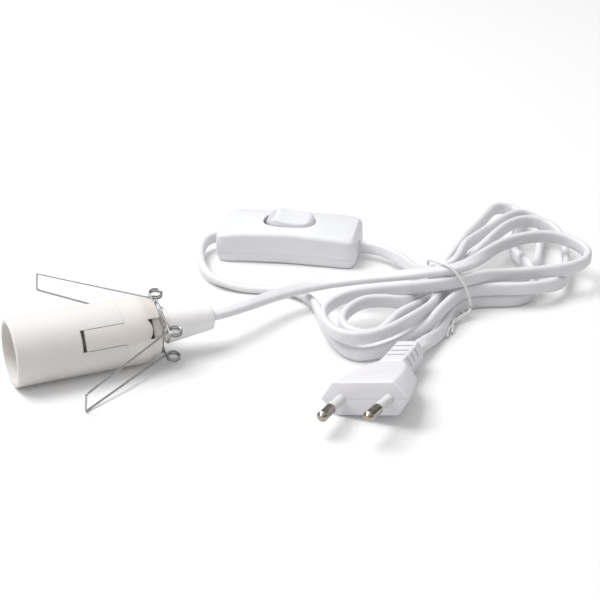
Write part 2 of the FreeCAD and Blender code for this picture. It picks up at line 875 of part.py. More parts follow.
def switch_base():
    """The switch's lower half, with two counterbored screw holes."""
    body = new_body("switch_base_body")
    plan = rectangle(new_sketch(body, "base_plan", "XY_Plane"), -HALF_LENGTH, HALF_LENGTH, -HALF_WIDTH, HALF_WIDTH)
    split = d.switch_split - d.seat_gap / 2
    pad(body, "base_block", plan, split)
    round_edges(body, "base_corners", d.switch_corner, corner_edges(0, d.switch_split.value))
    foot = (-HALF_LENGTH.value - 1, -HALF_WIDTH.value - 1, -0.01)
    foot_top = (HALF_LENGTH.value + 1, HALF_WIDTH.value + 1, 0.01)
    round_edges(body, "base_foot", d.switch_foot_round, box_edges(foot, foot_top))
    room = new_sketch(body, "base_room", "XY_Plane", d.switch_wall)
    rectangle(room, -ROOM_LENGTH, ROOM_LENGTH, -ROOM_WIDTH, ROOM_WIDTH)
    pocket(body, "base_hollow", room, d.switch_split, reverse=True)
    cord_slots(body)
    posts = new_sketch(body, "base_posts", "XY_Plane", d.switch_wall - 0.2)
    holes = new_sketch(body, "base_holes", "XY_Plane")
    for side in (-1, 1):
        round_hole(posts, SCREW_SPOT[0] * side, -SCREW_SPOT[1] * side, 2.4)
        round_hole(holes, SCREW_SPOT[0] * side, -SCREW_SPOT[1] * side, 1.4)
    pad(body, "screw_posts", posts, split - d.switch_wall + 0.2)
    pocket(body, "screw_holes", holes, d.switch_split + 1.0, symmetric=False, reverse=True)
    heads = new_sketch(body, "screw_head_rooms", "XY_Plane")
    for side in (-1, 1):
        round_hole(heads, SCREW_SPOT[0] * side, -SCREW_SPOT[1] * side, 2.1)
    pocket(body, "screw_counterbores", heads, 1.5, reverse=True)
    return keep("switch_base", body, switch_place)


def switch_cover():
    """The crowned upper half, with the rocker's window and the bearings of its pivots."""
    body = new_body("switch_cover_body")
    low = d.switch_split + d.seat_gap / 2
    side_view = new_sketch(body, "cover_side_view", "XZ_Plane")
    end = d.switch_end_height
    crown = d.switch_end_height + d.switch_crown
    third = d.switch_length / 6
    fifth = d.switch_crown * 0.89
    outline(side_view, [
        (-HALF_LENGTH, low),
        (HALF_LENGTH, low),
        (HALF_LENGTH, end),
        (third * 2, end + d.switch_crown * 0.56),
        (third, end + fifth),
        (NOTHING, crown),
        (-third, end + fifth),
        (-(third * 2), end + d.switch_crown * 0.56),
        (-HALF_LENGTH, end),
    ])
    pad(body, "cover_block", side_view, d.switch_width, symmetric=True)
    round_edges(body, "cover_corners", d.switch_corner, corner_edges(d.switch_split.value, crown.value))
    top_low = (-HALF_LENGTH.value - 1, -HALF_WIDTH.value - 1, end.value - 0.05)
    top_high = (HALF_LENGTH.value + 1, HALF_WIDTH.value + 1, crown.value + 0.05)

    def outer_top(edge):
        if not box_edges(top_low, top_high)(edge):
            return False
        middle = edge.valueAt((edge.FirstParameter + edge.LastParameter) / 2)
        beside = abs(abs(middle.y) - HALF_WIDTH.value) < 1.5
        beyond = abs(abs(middle.x) - HALF_LENGTH.value) < 1.5
        crosses = edge.BoundBox.YLength > HALF_WIDTH.value and not beyond
        return (beside or beyond) and not crosses
    round_edges(body, "cover_top_edge", d.switch_top_round, outer_top)
    room = new_sketch(body, "cover_room", "XY_Plane", low)
    rectangle(room, -ROOM_LENGTH, ROOM_LENGTH, -ROOM_WIDTH, ROOM_WIDTH)
    pocket(body, "cover_hollow", room, end - d.switch_wall - low, reverse=True)
    window = new_sketch(body, "window_outline", "XY_Plane")
    rectangle(window, -WINDOW_LENGTH, WINDOW_LENGTH, -WINDOW_WIDTH, WINDOW_WIDTH)
    pocket(body, "rocker_window", window, crown + 2.0, reverse=True)
    cord_slots(body)
    walls = new_sketch(body, "bearing_walls_outline", "XZ_Plane")
    rectangle(walls, -3.2, 3.2, d.pivot_height - 3.0, end - d.switch_wall + 0.2)
    pad(body, "bearing_walls", walls, (WINDOW_WIDTH + BEARING_WALL) * 2, symmetric=True)
    between = new_sketch(body, "between_bearings", "XZ_Plane")
    rectangle(between, -3.4, 3.4, d.pivot_height - 3.2, crown + 1.0)
    pocket(body, "bearing_gap", between, WINDOW_WIDTH * 2, symmetric=True)
    holes = new_sketch(body, "bearing_hole_outline", "XZ_Plane")
    round_hole(holes, NOTHING, d.pivot_height, d.pivot_radius + d.pivot_gap)
    pocket(body, "bearing_holes", holes, (WINDOW_WIDTH + BEARING_WALL) * 2 + 1.0, symmetric=True)
    posts = new_sketch(body, "cover_posts", "XY_Plane", low)
    thread = new_sketch(body, "cover_screw_holes", "XY_Plane", low)
    for side in (-1, 1):
        round_hole(posts, SCREW_SPOT[0] * side, -SCREW_SPOT[1] * side, 2.4)
        round_hole(thread, SCREW_SPOT[0] * side, -SCREW_SPOT[1] * side, 1.15)
    pad(body, "cover_screw_posts", posts, end - d.switch_wall - low + 0.2)
    pocket(body, "cover_threads", thread, 4.5, reverse=True)
    return keep("switch_cover", body, switch_place)


def rocker():
    """The saddle-shaped rocker on two stub pivots, resting with its left end up."""
    body = new_body("rocker_body")
    half = d.rocker_length / 2
    rise = d.rocker_high - d.rocker_low
    lift = d.pivot_height
    side_view = new_sketch(body, "rocker_side_view", "XZ_Plane")
    outline(side_view, [
        (-half + 4.2, d.rocker_foot - lift),
        (half - 4.2, d.rocker_foot - lift),
        (half - 0.6, d.rocker_high - 3.6 - lift),
        (half, d.rocker_high - lift),
        (half * 0.8, d.rocker_low + rise * 0.72 - lift),
        (half * 0.45, d.rocker_low + rise * 0.22 - lift),
        (NOTHING, d.rocker_low - lift),
        (-(half * 0.45), d.rocker_low + rise * 0.22 - lift),
        (-(half * 0.8), d.rocker_low + rise * 0.72 - lift),
        (-half, d.rocker_high - lift),
        (-half + 0.6, d.rocker_high - 3.6 - lift),
    ])
    pad(body, "rocker_block", side_view, d.rocker_width, symmetric=True)
    pivots = new_sketch(body, "pivot_outline", "XZ_Plane")
    round_hole(pivots, NOTHING, NOTHING, d.pivot_radius)
    pad(body, "stub_pivots", pivots, d.rocker_width + d.pivot_length * 2, symmetric=True)
    tilt = FreeCAD.Placement(V(0, 0, d.pivot_height.value), FreeCAD.Rotation(V(0, 1, 0), d.rocker_tilt.value))
    return keep("rocker", body, switch_place.multiply(tilt))


def switch_inside():
    """Terminals, contacts, cord clamps and screws under the switch's cover."""
    floor = d.switch_wall.value
    gap = d.seat_gap.value
    blocks = []
    block_screws = []
    for x in (-17.0, 17.0):
        for y in (-6.6, 6.6):
            block = Part.makeBox(6.0, 4.0, 4.4, V(x - 3, y - 2, floor + gap))
            wire_hole = rod_between(V(x - 4, y, floor + 2.0), V(x + 4, y, floor + 2.0), 1.1)
            thread = rod_between(V(x, y, floor + 2.0), V(x, y, floor + 6), 1.15)
            blocks.append(block.cut(wire_hole).cut(thread))
            block_screws.append(headed_screw(V(x, y, floor + 3.3), V(0, 0, 1), 1.13, 1.5, 1.7, 0.8))
    solid_feature("switch_terminals", Part.makeCompound(blocks), switch_place)
    solid_feature("switch_terminal_screws", Part.makeCompound(block_screws), switch_place)
    strips = []
    for side in (-1, 1):
        start = 3.0 if side > 0 else -13.9
        strips.append(Part.makeBox(10.9, 3.4, 0.6, V(start, 4.9, floor + gap)))
    solid_feature("fixed_contacts", Part.makeCompound(strips), switch_place)
    clamp = Part.makeBox(3.6, 17.0, 1.4, V(-1.8, -8.5, 0))
    cord_top = d.cord_slot_place.value + d.cord_radius.value + gap
    clamp_screws = []
    for label, x in (("left_cord_clamp", -24.6), ("right_cord_clamp", 24.6)):
        bar = clamp.copy()
        bar.translate(V(x, 0, cord_top))
        posts = Part.makeBox(3.6, 3.4, cord_top - floor - gap + 0.1, V(x - 1.8, -8.5, floor + gap))
        posts = posts.fuse(Part.makeBox(3.6, 3.4, cord_top - floor - gap + 0.1, V(x - 1.8, 5.1, floor + gap)))
        whole = bar.fuse(posts).removeSplitter()
        holes = [rod_between(V(x, y, floor + 1), V(x, y, cord_top + 3), 0.9) for y in (-6.8, 6.8)]
        for hole in holes:
            whole = whole.cut(hole)
        solid_feature(label, whole, switch_place)
        for y in (-6.8, 6.8):
            clamp_screws.append(headed_screw(V(x, y, floor + 1.2), V(0, 0, 1), 0.88, cord_top + 1.4 - floor - 1.2, 1.5, 0.6))
    solid_feature("clamp_screws", Part.makeCompound(clamp_screws), switch_place)
    case_screws = []
    for side in (-1, 1):
        head_top = V(SCREW_SPOT[0] * side, -SCREW_SPOT[1] * side, 8.0)
        case_screws.append(headed_screw(head_top, V(0, 0, -1), 1.13, 6.55, 2.05, 1.2))
    solid_feature("case_screws", Part.makeCompound(case_screws), switch_place)


def rocker_blade():
    """The brass bridge under the rocker that closes the live core."""
    body = new_body("contact_blade_body")
    low = d.rocker_foot - d.pivot_height
    strip = new_sketch(body, "blade_outline", "XZ_Plane")
    outline(strip, [
        (-4.6, low - 0.1),
        (4.6, low - 0.1),
        (4.6, low - 0.7),
        (1.2, low - 2.2),
        (-1.2, low - 2.2),
        (-4.6, low - 0.7),
    ])
    blade = pad(body, "blade", strip, Size.of(3.0), symmetric=True)
    tilt = FreeCAD.Placement(V(0, 0, d.pivot_height.value), FreeCAD.Rotation(V(0, 1, 0), d.rocker_tilt.value))
    return keep("contact_blade", body, switch_place.multiply(tilt))


switch_base()
switch_cover()
rocker()
rocker_blade()
switch_inside()

# ---- plug


def hexagon(body, name, place, width, flat, height):
    """The plug's six-sided section at a depth from its face."""
    sketch = new_sketch(body, name, "XZ_Plane", -place)
    half, half_flat, half_height = width / 2, flat / 2, height / 2
    return outline(sketch, [
        (-half, NOTHING),
        (-half_flat, -half_height),
        (half_flat, -half_height),
        (half, NOTHING),
        (half_flat, half_height),
        (-half_flat, half_height),
    ])


def plug_body():
    """The moulded plug: a flat six-sided front that tapers into a ribbed strain relief."""
    body = new_body("plug_body_moulded")
    sections = [
        hexagon(body, "face_section", NOTHING, d.plug_width, d.plug_flat, d.plug_height),
        hexagon(
            body, "front_section", d.plug_front_depth,
            d.plug_front_width, d.plug_front_flat, d.plug_front_height,
        ),
        hexagon(
            body, "waist_section", d.plug_waist_depth,
            d.plug_waist_width, d.plug_waist_flat, d.plug_waist_height,
        ),
        hexagon(
            body, "rear_section", d.plug_rear_depth,
            d.plug_rear_width, d.plug_rear_flat, d.plug_rear_height,
        ),
        hexagon(body, "back_section", d.plug_depth, d.plug_back_width, d.plug_back_flat, d.plug_back_height),
    ]
    loft = body.newObject("PartDesign::AdditiveLoft", "moulded_front")
    loft.Profile = sections[0]
    loft.Sections = sections[1:]
    loft.Ruled = True
    doc.recompute()
    end = d.plug_depth + d.relief_length
    tail = body.newObject("PartDesign::AdditiveLoft", "strain_relief")
    tail_start = hexagon(body, "relief_start", d.plug_depth, d.plug_back_width, d.plug_back_flat, d.plug_back_height)
    tail_end = hexagon(body, "relief_end", end, d.relief_end_width, d.relief_end_width * 0.6, d.relief_end_height)
    tail.Profile = tail_start
    tail.Sections = [tail_end]
    tail.Ruled = True
    doc.recompute()
    slots = new_sketch(body, "relief_slot_outline", "YZ_Plane")
    for k in range(3):
        start = d.plug_depth + 2.4 + d.relief_slot_pitch * k
        inner = d.relief_end_height / 2 + 1.0 - d.relief_slot_depth * 0.5 - 0.12 * k
        outer = d.plug_back_height / 2 + 1.0
        rectangle(slots, start, start + d.relief_slot, inner, outer)
        rectangle(slots, start, start + d.relief_slot, -outer, -inner)
    pocket(body, "relief_slots_above", slots, d.plug_back_width + 2.0, symmetric=True)
    sides = new_sketch(body, "relief_side_outline", "XY_Plane")
    for k in range(3):
        start = d.plug_depth + 2.4 + d.relief_slot_pitch * (k + 0.5)
        inner = d.relief_end_width / 2 + 1.6 - d.relief_slot_depth * 0.5 - 0.35 * k
        outer = d.plug_back_width / 2 + 1.0
        rectangle(sides, inner, outer, start, start + d.relief_slot)
        rectangle(sides, -outer, -inner, start, start + d.relief_slot)
    pocket(body, "relief_slots_beside", sides, d.plug_back_height + 2.0, symmetric=True)
    roots = new_sketch(body, "pin_root_outline", "XZ_Plane")
    for side in (-1, 1):
        round_hole(roots, d.pin_spacing_base * (side * 0.5) + 0.15 * side, NOTHING, d.sleeve_bore + 0.2)
    pocket(body, "pin_roots", roots, d.pin_root + 0.1)
    return keep("plug_body", body, plug_place)


def pin_placement(side):
    """A pin stands in the face and leans a little towards its twin."""
    lean = math.degrees(math.asin((d.pin_spacing_base.value - d.pin_spacing_tip.value) / 2 / d.pin_length.value))
    base = V(side * d.pin_spacing_base.value / 2, 0, 0)
    turned = FreeCAD.Rotation(V(0, 0, 1), -side * lean)
    return plug_place.multiply(FreeCAD.Placement(base, turned))


def plug_pins():
    """Two round pins, each with an insulating sleeve over the half next to the face."""
    for name, side in (("left", -1), ("right", 1)):
        body = new_body("pin_%s_body" % name)
        profile = new_sketch(body, "pin_profile_" + name, "YZ_Plane")
        step = d.sleeve_bore
        outline(profile, [
            (d.pin_root, NOTHING),
            (d.pin_root, step),
            (-d.sleeve_length, step),
            (-d.sleeve_length, d.pin_radius),
            (-d.pin_length + d.pin_tip_round, d.pin_radius),
            (-d.pin_length, d.pin_radius - d.pin_tip_round),
            (-d.pin_length, NOTHING),
        ])
        turned = body.newObject("PartDesign::Revolution", "pin_turned_" + name)
        turned.Profile = profile
        turned.ReferenceAxis = (profile, ["H_Axis"])
        turned.Angle = 360.0
        doc.recompute()
        keep("pin_" + name, body, pin_placement(side))
        sleeve = new_body("sleeve_%s_body" % name)
        ring = new_sketch(sleeve, "sleeve_profile_" + name, "YZ_Plane")
        rectangle(ring, -d.sleeve_length + d.seat_gap, -d.seat_gap, d.sleeve_bore, d.sleeve_radius)
        sleeve_turned = sleeve.newObject("PartDesign::Revolution", "sleeve_turned_" + name)
        sleeve_turned.Profile = ring
        sleeve_turned.ReferenceAxis = (ring, ["H_Axis"])
        sleeve_turned.Angle = 360.0
        doc.recompute()
        keep("sleeve_" + name, sleeve, pin_placement(side))


plug_body()
plug_pins()

# ---- cord

# Points of each stretch of cord, measured from the foot of the neck's end.
HOLDER_LEAD = [
    (5.7, 0.6, 12.8),
    (17.7, 5.0, 11.6),
    (29.7, 11.5, 10.6),
    (41.7, 16.5, 10.0),
    (53.7, 17.2, 10.4),
]
SWITCH_LEFT_LEAD = [
    (46.2, 82.8, 5.4),
    (38.0, 88.05, 5.4),
    (28.8, 87.6, 4.8),
    (21.6, 81.8, 3.8),
    (18.9, 73.0, 3.0),
    (19.1, 64.0, 2.4),
    (21.1, 55.4, 2.2),
    (25.1, 47.6, 2.2),
    (30.5, 40.2, 2.2),
    (37.1, 33.2, 2.2),
    (44.9, 26.0, 2.2),
    (53.1, 19.6, 2.2),
]
SWITCH_RIGHT_LEAD = [
    (80.3, 60.9, 5.4),
    (88.2, 55.9, 5.4),
    (94.7, 50.4, 5.0),
    (98.3, 42.8, 4.6),
    (99.8, 34.0, 4.8),
    (100.4, 25.0, 5.4),
    (101.4, 15.0, 6.2),
    (102.4, 5.0, 6.8),
]


def laid(points):
    return [NECK_FOOT + V(*point) for point in points]


axis_height = d.holder_radius.value
jacket_end = SHIFT + V(JACKET_END.value, 0, axis_height)
holder_lead = [jacket_end, NECK_FOOT + V(-6.3, 0, axis_height)] + laid(HOLDER_LEAD)
cord_tube("holder_lead", holder_lead, d.cord_radius.value)
cord_tube("switch_left_lead", laid(SWITCH_LEFT_LEAD), d.cord_radius.value)
cord_tube("switch_right_lead", laid(SWITCH_RIGHT_LEAD), d.cord_radius.value)

plug_exit = plug_centre + plug_y * (d.plug_depth.value + d.relief_length.value + d.seat_gap.value)
plug_lead = [plug_exit, plug_exit + plug_y * 7.0, NECK_FOOT + V(78.5, -33.4, 3.9), NECK_FOOT + V(91.1, -23.4, 5.2)]
cord_tube("plug_lead", plug_lead, d.cord_radius.value)
print("plug exit", plug_exit - SHIFT)

# Outlines of the hank's two fans of loops and of its tied waist, from above.
LEFT_LOOPS = [
    (42.2, -29.0), (47.7, -38.5), (60.7, -39.5), (75.7, -34.0), (90.7, -26.0), (100.7, -22.0),
    (97.7, -3.0), (80.7, 5.0), (67.7, 14.0), (57.7, 22.0), (48.7, 22.0), (43.7, 8.0), (40.2, -12.0),
]
WAIST = [(88.7, -16.0), (103.7, -16.3), (108.7, -14.0), (106.7, 4.0), (97.7, 7.1), (88.7, 2.0)]
RIGHT_LOOPS = [
    (100.7, -20.0), (120.7, -20.0), (142.7, -22.0), (160.7, -20.0), (170.7, -6.0), (176.7, 16.0), (180.7, 42.0),
    (180.7, 64.0), (172.7, 76.0), (160.7, 71.0), (142.7, 51.5), (124.7, 30.5), (104.7, 8.0),
]


def slab(points, height):
    """A closed block with a rounded outline, standing on the floor."""
    corners = [NECK_FOOT + V(x, y, 0) for x, y in points]
    edges, used = tangent_arcs(corners, None, closed=True)
    return Part.Face(Part.Wire(edges)).extrude(V(0, 0, height))


def cord_hank():
    """The outer shape of the wound cord, with a flat-bottomed recess for each tube that enters it."""
    hank = slab(LEFT_LOOPS, d.hank_left_height.value)
    hank = hank.fuse(slab(WAIST, d.hank_waist_height.value))
    hank = hank.fuse(slab(RIGHT_LOOPS, d.hank_right_height.value))
    hank = hank.removeSplitter()
    notch = slab([(99.9, -34.0), (103.3, -34.0), (103.3, -16.5), (99.9, -16.5)], d.hank_waist_height.value)
    hank = hank.cut(notch)
    for points in (holder_lead, laid(SWITCH_LEFT_LEAD), laid(SWITCH_RIGHT_LEAD), plug_lead):
        back = (points[-2] - points[-1]).normalize()
        hank = hank.cut(rod_between(points[-1], points[-1] + back * 24, d.cord_radius.value + 1.3))
    print("hank solids", len(hank.Solids))
    solid_feature("cord_hank", hank.Solids[0], FreeCAD.Placement())


def twist_tie():
    """The wire tie: a loop round the hank's waist and two twisted tails beside it."""
    low = d.tie_radius.value + 0.05
    top = d.hank_waist_height.value + d.tie_radius.value + 0.1
    near = TIE_MIDDLE - TIE_ACROSS * TIE_NEAR
    far = TIE_MIDDLE + TIE_ACROSS * TIE_FAR
    corners = [
        near + V(0, 0, low),
        near + V(0, 0, top),
        far + V(0, 0, top),
        far + V(0, 0, low),
    ]
    edges, used = tangent_arcs(corners, 1.2)
    tie = sweep_round(edges, d.tie_radius.value)
    foot = near + V(0, 0, low)
    tail = [foot, foot + V(-0.3, -5.0, 0), foot + V(-4.5, -10.5, 0), foot + V(-10.0, -13.0, 0)]
    edges, used = tangent_arcs(tail, 2.0)
    tie = tie.fuse(sweep_round(edges, d.tie_radius.value))
    solid_feature("twist_tie", tie, FreeCAD.Placement())


TIE_MIDDLE = NECK_FOOT + V(99.7, -4.6, 0)
TIE_ACROSS = V(-0.14, 0.99, 0).normalize()
TIE_NEAR = 13.0
TIE_FAR = 13.0
cord_hank()
twist_tie()


# ---- places of the joints and mounts


def report_places():
    print("frame shift", SHIFT)
    print("plug pins point", -plug_y)
    for side in (-1, 1):
        print("pin", side, pin_placement(side).multVec(V(0, -d.sleeve_length.value, 0)), pin_placement(side).Rotation.multVec(V(0, -1, 0)))
    print("switch foot", switch_place.Base, "pivot", switch_place.multVec(V(0, 0, d.pivot_height.value)))
    print("pivot axis", switch_place.Rotation.multVec(V(0, 1, 0)))
    for side in (1, -1):
        hinge = clip_place.multVec(wire_point(HINGE_PLACE.value, side * HINGE_OFFSET.value, 0))
        print("hinge", side, hinge, clip_place.Rotation.multVec(V(0, 0, 1)))


report_places()

# ---- checks and export


def faults():
    found = []
    for obj in doc.Objects:
        bad = [state for state in obj.State if state in ("Invalid", "Error")]
        if bad:
            found.append("%s is %s" % (obj.Name, ", ".join(bad)))
    for obj in nodes:
        if obj.Shape.isNull() or not obj.Shape.isValid() or not obj.Shape.Solids:
            found.append(obj.Label + " has no valid solid")
    return found


doc.recompute()
problems = faults()
if problems:
    raise RuntimeError("; ".join(problems))
os.makedirs("parts", exist_ok=True)
for node in nodes:
    node.Shape.exportStep(os.path.join("parts", node.Label + ".step"))
    print("%-24s solids %d volume %9.2f" % (node.Label, len(node.Shape.Solids), node.Shape.Volume))
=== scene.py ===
"""Looks of the salt lamp cord set: switch, plug, cords, tie, finishes, light and camera."""

from math import cos, pi, radians, sin

import bmesh
import bpy
from mathutils import Matrix, Vector


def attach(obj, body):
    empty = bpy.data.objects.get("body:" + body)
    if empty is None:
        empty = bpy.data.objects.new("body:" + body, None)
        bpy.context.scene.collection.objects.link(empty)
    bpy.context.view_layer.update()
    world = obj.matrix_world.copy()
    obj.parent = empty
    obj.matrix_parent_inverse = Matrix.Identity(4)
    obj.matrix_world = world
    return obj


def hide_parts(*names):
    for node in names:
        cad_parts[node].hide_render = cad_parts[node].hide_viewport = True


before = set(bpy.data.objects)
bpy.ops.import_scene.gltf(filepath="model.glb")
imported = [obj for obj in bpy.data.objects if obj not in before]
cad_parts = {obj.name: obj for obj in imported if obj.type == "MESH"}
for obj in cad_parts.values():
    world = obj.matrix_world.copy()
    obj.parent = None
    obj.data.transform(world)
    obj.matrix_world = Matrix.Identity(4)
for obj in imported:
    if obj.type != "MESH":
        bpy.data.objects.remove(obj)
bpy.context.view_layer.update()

bl_info = {
    "name": "Salt lamp cord set",
    "version": (1, 0, 0),
    "blender": (4, 5, 0),
    "location": "3D View > Sidebar > Cord set",
    "description": "Switch, plug, cords, tie, finishes and studio for a salt lamp cord set",
    "category": "Object",
}

# Control points of the cords: x, y, z in metres and the ribbon's lean in degrees,
# where 0 lies flat, 90 stands on its edge and 180 lies flat the other way up.

LAMP_ROUTE = [
    (0.0226, -0.0022, 0.0130, 0),
    (0.0324, -0.0022, 0.0130, 0),
    (0.0404, -0.0020, 0.0129, 0),
    (0.0493, 0.0008, 0.0122, 0),
    (0.0593, 0.0058, 0.0110, 10),
    (0.0713, 0.0118, 0.0098, 20),
    (0.0843, 0.0154, 0.0092, 25),
    (0.0953, 0.0140, 0.0102, 25),
    (0.1043, 0.0092, 0.0120, 20),
    (0.1128, 0.0030, 0.0142, 15),
    (0.1213, -0.0034, 0.0162, 10),
    (0.1298, -0.0084, 0.0180, 5),
    (0.1379, -0.0115, 0.0188, 5),
    (0.1459, -0.0104, 0.0188, 15),
    (0.1538, -0.0062, 0.0182, 35),
    (0.1608, -0.0012, 0.0175, 60),
    (0.1678, 0.0038, 0.0170, 80),
    (0.1764, 0.0076, 0.0170, 90),
    (0.1863, 0.0094, 0.0168, 90),
    (0.1958, 0.0090, 0.0162, 90),
    (0.2029, 0.0048, 0.0152, 90),
    (0.2064, -0.0017, 0.0142, 90),
    (0.2065, -0.0087, 0.0134, 90),
    (0.2024, -0.0142, 0.0128, 90),
    (0.1953, -0.0164, 0.0122, 90),
    (0.1863, -0.0156, 0.0118, 90),
    (0.1754, -0.0128, 0.0114, 90),
    (0.1643, -0.0110, 0.0118, 90),
    (0.1533, -0.0120, 0.0137, 90),
    (0.1434, -0.0135, 0.0140, 90),
    (0.1343, -0.0138, 0.0141, 90),
    (0.1243, -0.0112, 0.0136, 90),
    (0.1123, -0.0066, 0.0126, 90),
    (0.1013, -0.0038, 0.0120, 90),
    (0.0928, -0.0044, 0.0114, 90),
    (0.0846, -0.0091, 0.0108, 90),
    (0.0803, -0.0166, 0.0104, 90),
    (0.0793, -0.0254, 0.0102, 90),
    (0.0811, -0.0332, 0.0102, 90),
    (0.0876, -0.0382, 0.0104, 90),
    (0.0968, -0.0384, 0.0110, 90),
    (0.1064, -0.0356, 0.0120, 90),
    (0.1163, -0.0297, 0.0114, 90),
    (0.1248, -0.0222, 0.0094, 90),
    (0.1313, -0.0147, 0.0082, 90),
    (0.1379, -0.0072, 0.0086, 90),
    (0.1459, 0.0008, 0.0104, 90),
    (0.1553, 0.0061, 0.0113, 90),
    (0.1668, 0.0126, 0.0136, 90),
    (0.1803, 0.0236, 0.0137, 90),
    (0.1933, 0.0338, 0.0124, 90),
    (0.2039, 0.0374, 0.0114, 90),
    (0.2112, 0.0328, 0.0102, 90),
    (0.2127, 0.0238, 0.0086, 90),
    (0.2093, 0.0138, 0.0070, 90),
    (0.2034, 0.0028, 0.0058, 90),
    (0.1968, -0.0072, 0.0050, 90),
    (0.1898, -0.0158, 0.0054, 90),
    (0.1797, -0.0208, 0.0080, 90),
    (0.1678, -0.0193, 0.0084, 90),
    (0.1573, -0.0147, 0.0084, 90),
    (0.1478, -0.0118, 0.0082, 90),
    (0.1394, -0.0155, 0.0082, 90),
    (0.1303, -0.0234, 0.0088, 90),
    (0.1238, -0.0286, 0.0086, 90),
    (0.1173, -0.0334, 0.0070, 90),
    (0.1088, -0.0368, 0.0052, 90),
    (0.0993, -0.0380, 0.0040, 90),
    (0.0914, -0.0382, 0.0032, 90),
    (0.0858, -0.0364, 0.0030, 90),
    (0.0833, -0.0307, 0.0030, 90),
    (0.0832, -0.0222, 0.0031, 90),
    (0.0843, -0.0118, 0.0030, 90),
    (0.0869, -0.0002, 0.0030, 90),
    (0.0895, 0.0108, 0.0030, 85),
    (0.0889, 0.0192, 0.0030, 60),
    (0.0853, 0.0290, 0.0025, 25),
    (0.0777, 0.0352, 0.0018, 5),
    (0.0698, 0.0396, 0.0018, 5),
    (0.0634, 0.0456, 0.0024, 30),
    (0.0598, 0.0523, 0.0030, 65),
    (0.0598, 0.0618, 0.0030, 90),
    (0.0624, 0.0723, 0.0033, 90),
    (0.0658, 0.0808, 0.0044, 90),
    (0.0716, 0.0874, 0.0056, 90),
    (0.0792, 0.0864, 0.0062, 90),
    (0.0858, 0.0806, 0.0062, 90),
]
MAINS_ROUTE = [
    (0.1199, 0.0587, 0.0054, 90),
    (0.1278, 0.0537, 0.0054, 90),
    (0.1338, 0.0486, 0.0056, 90),
    (0.1371, 0.0413, 0.0060, 85),
    (0.1385, 0.0323, 0.0064, 80),
    (0.1379, 0.0228, 0.0074, 80),
    (0.1361, 0.0138, 0.0092, 80),
    (0.1349, 0.0058, 0.0118, 80),
    (0.1365, -0.0014, 0.0142, 80),
    (0.1419, -0.0046, 0.0162, 85),
    (0.1483, -0.0004, 0.0170, 90),
    (0.1542, 0.0067, 0.0169, 90),
    (0.1603, 0.0144, 0.0159, 90),
    (0.1683, 0.0211, 0.0146, 90),
    (0.1823, 0.0326, 0.0122, 90),
    (0.1943, 0.0423, 0.0108, 90),
    (0.2041, 0.0477, 0.0100, 90),
    (0.2109, 0.0480, 0.0084, 90),
    (0.2147, 0.0430, 0.0064, 90),
    (0.2127, 0.0362, 0.0048, 90),
    (0.2084, 0.0304, 0.0038, 90),
    (0.2019, 0.0228, 0.0032, 90),
    (0.1948, 0.0118, 0.0030, 90),
    (0.1873, 0.0028, 0.0030, 90),
    (0.1774, -0.0028, 0.0030, 90),
    (0.1653, -0.0036, 0.0030, 90),
    (0.1553, -0.0031, 0.0030, 90),
    (0.1464, -0.0032, 0.0030, 90),
    (0.1373, -0.0048, 0.0032, 90),
    (0.1283, -0.0098, 0.0050, 90),
    (0.1203, -0.0156, 0.0070, 90),
    (0.1113, -0.0210, 0.0080, 90),
    (0.1043, -0.0272, 0.0080, 90),
    (0.0978, -0.0324, 0.0080, 90),
    (0.0907, -0.0332, 0.0082, 90),
    (0.0863, -0.0280, 0.0087, 90),
    (0.0863, -0.0214, 0.0092, 90),
    (0.0898, -0.0158, 0.0098, 90),
    (0.0955, -0.0120, 0.0106, 90),
    (0.1017, -0.0102, 0.0112, 90),
    (0.1093, -0.0116, 0.0108, 90),
    (0.1173, -0.0134, 0.0090, 90),
    (0.1263, -0.0076, 0.0066, 90),
    (0.1363, 0.0006, 0.0054, 90),
    (0.1483, 0.0111, 0.0092, 90),
    (0.1637, 0.0251, 0.0120, 90),
    (0.1827, 0.0442, 0.0090, 90),
    (0.1953, 0.0578, 0.0068, 90),
    (0.2037, 0.0668, 0.0056, 90),
    (0.2103, 0.0694, 0.0046, 90),
    (0.2155, 0.0654, 0.0036, 90),
    (0.2147, 0.0576, 0.0030, 90),
    (0.2084, 0.0488, 0.0030, 90),
    (0.1963, 0.0363, 0.0030, 90),
    (0.1888, 0.0218, 0.0040, 90),
    (0.1842, 0.0083, 0.0080, 90),
    (0.1820, -0.0032, 0.0088, 90),
    (0.1797, -0.0112, 0.0050, 90),
    (0.1734, -0.0172, 0.0029, 90),
    (0.1653, -0.0175, 0.0028, 90),
    (0.1573, -0.0142, 0.0028, 90),
    (0.1498, -0.0118, 0.0028, 90),
    (0.1417, -0.0140, 0.0028, 90),
    (0.1349, -0.0202, 0.0028, 90),
    (0.1288, -0.0276, 0.0029, 90),
    (0.1213, -0.0350, 0.0032, 105),
    (0.1103, -0.0426, 0.0054, 150),
    (0.1025, -0.0486, 0.0061, 185),
]

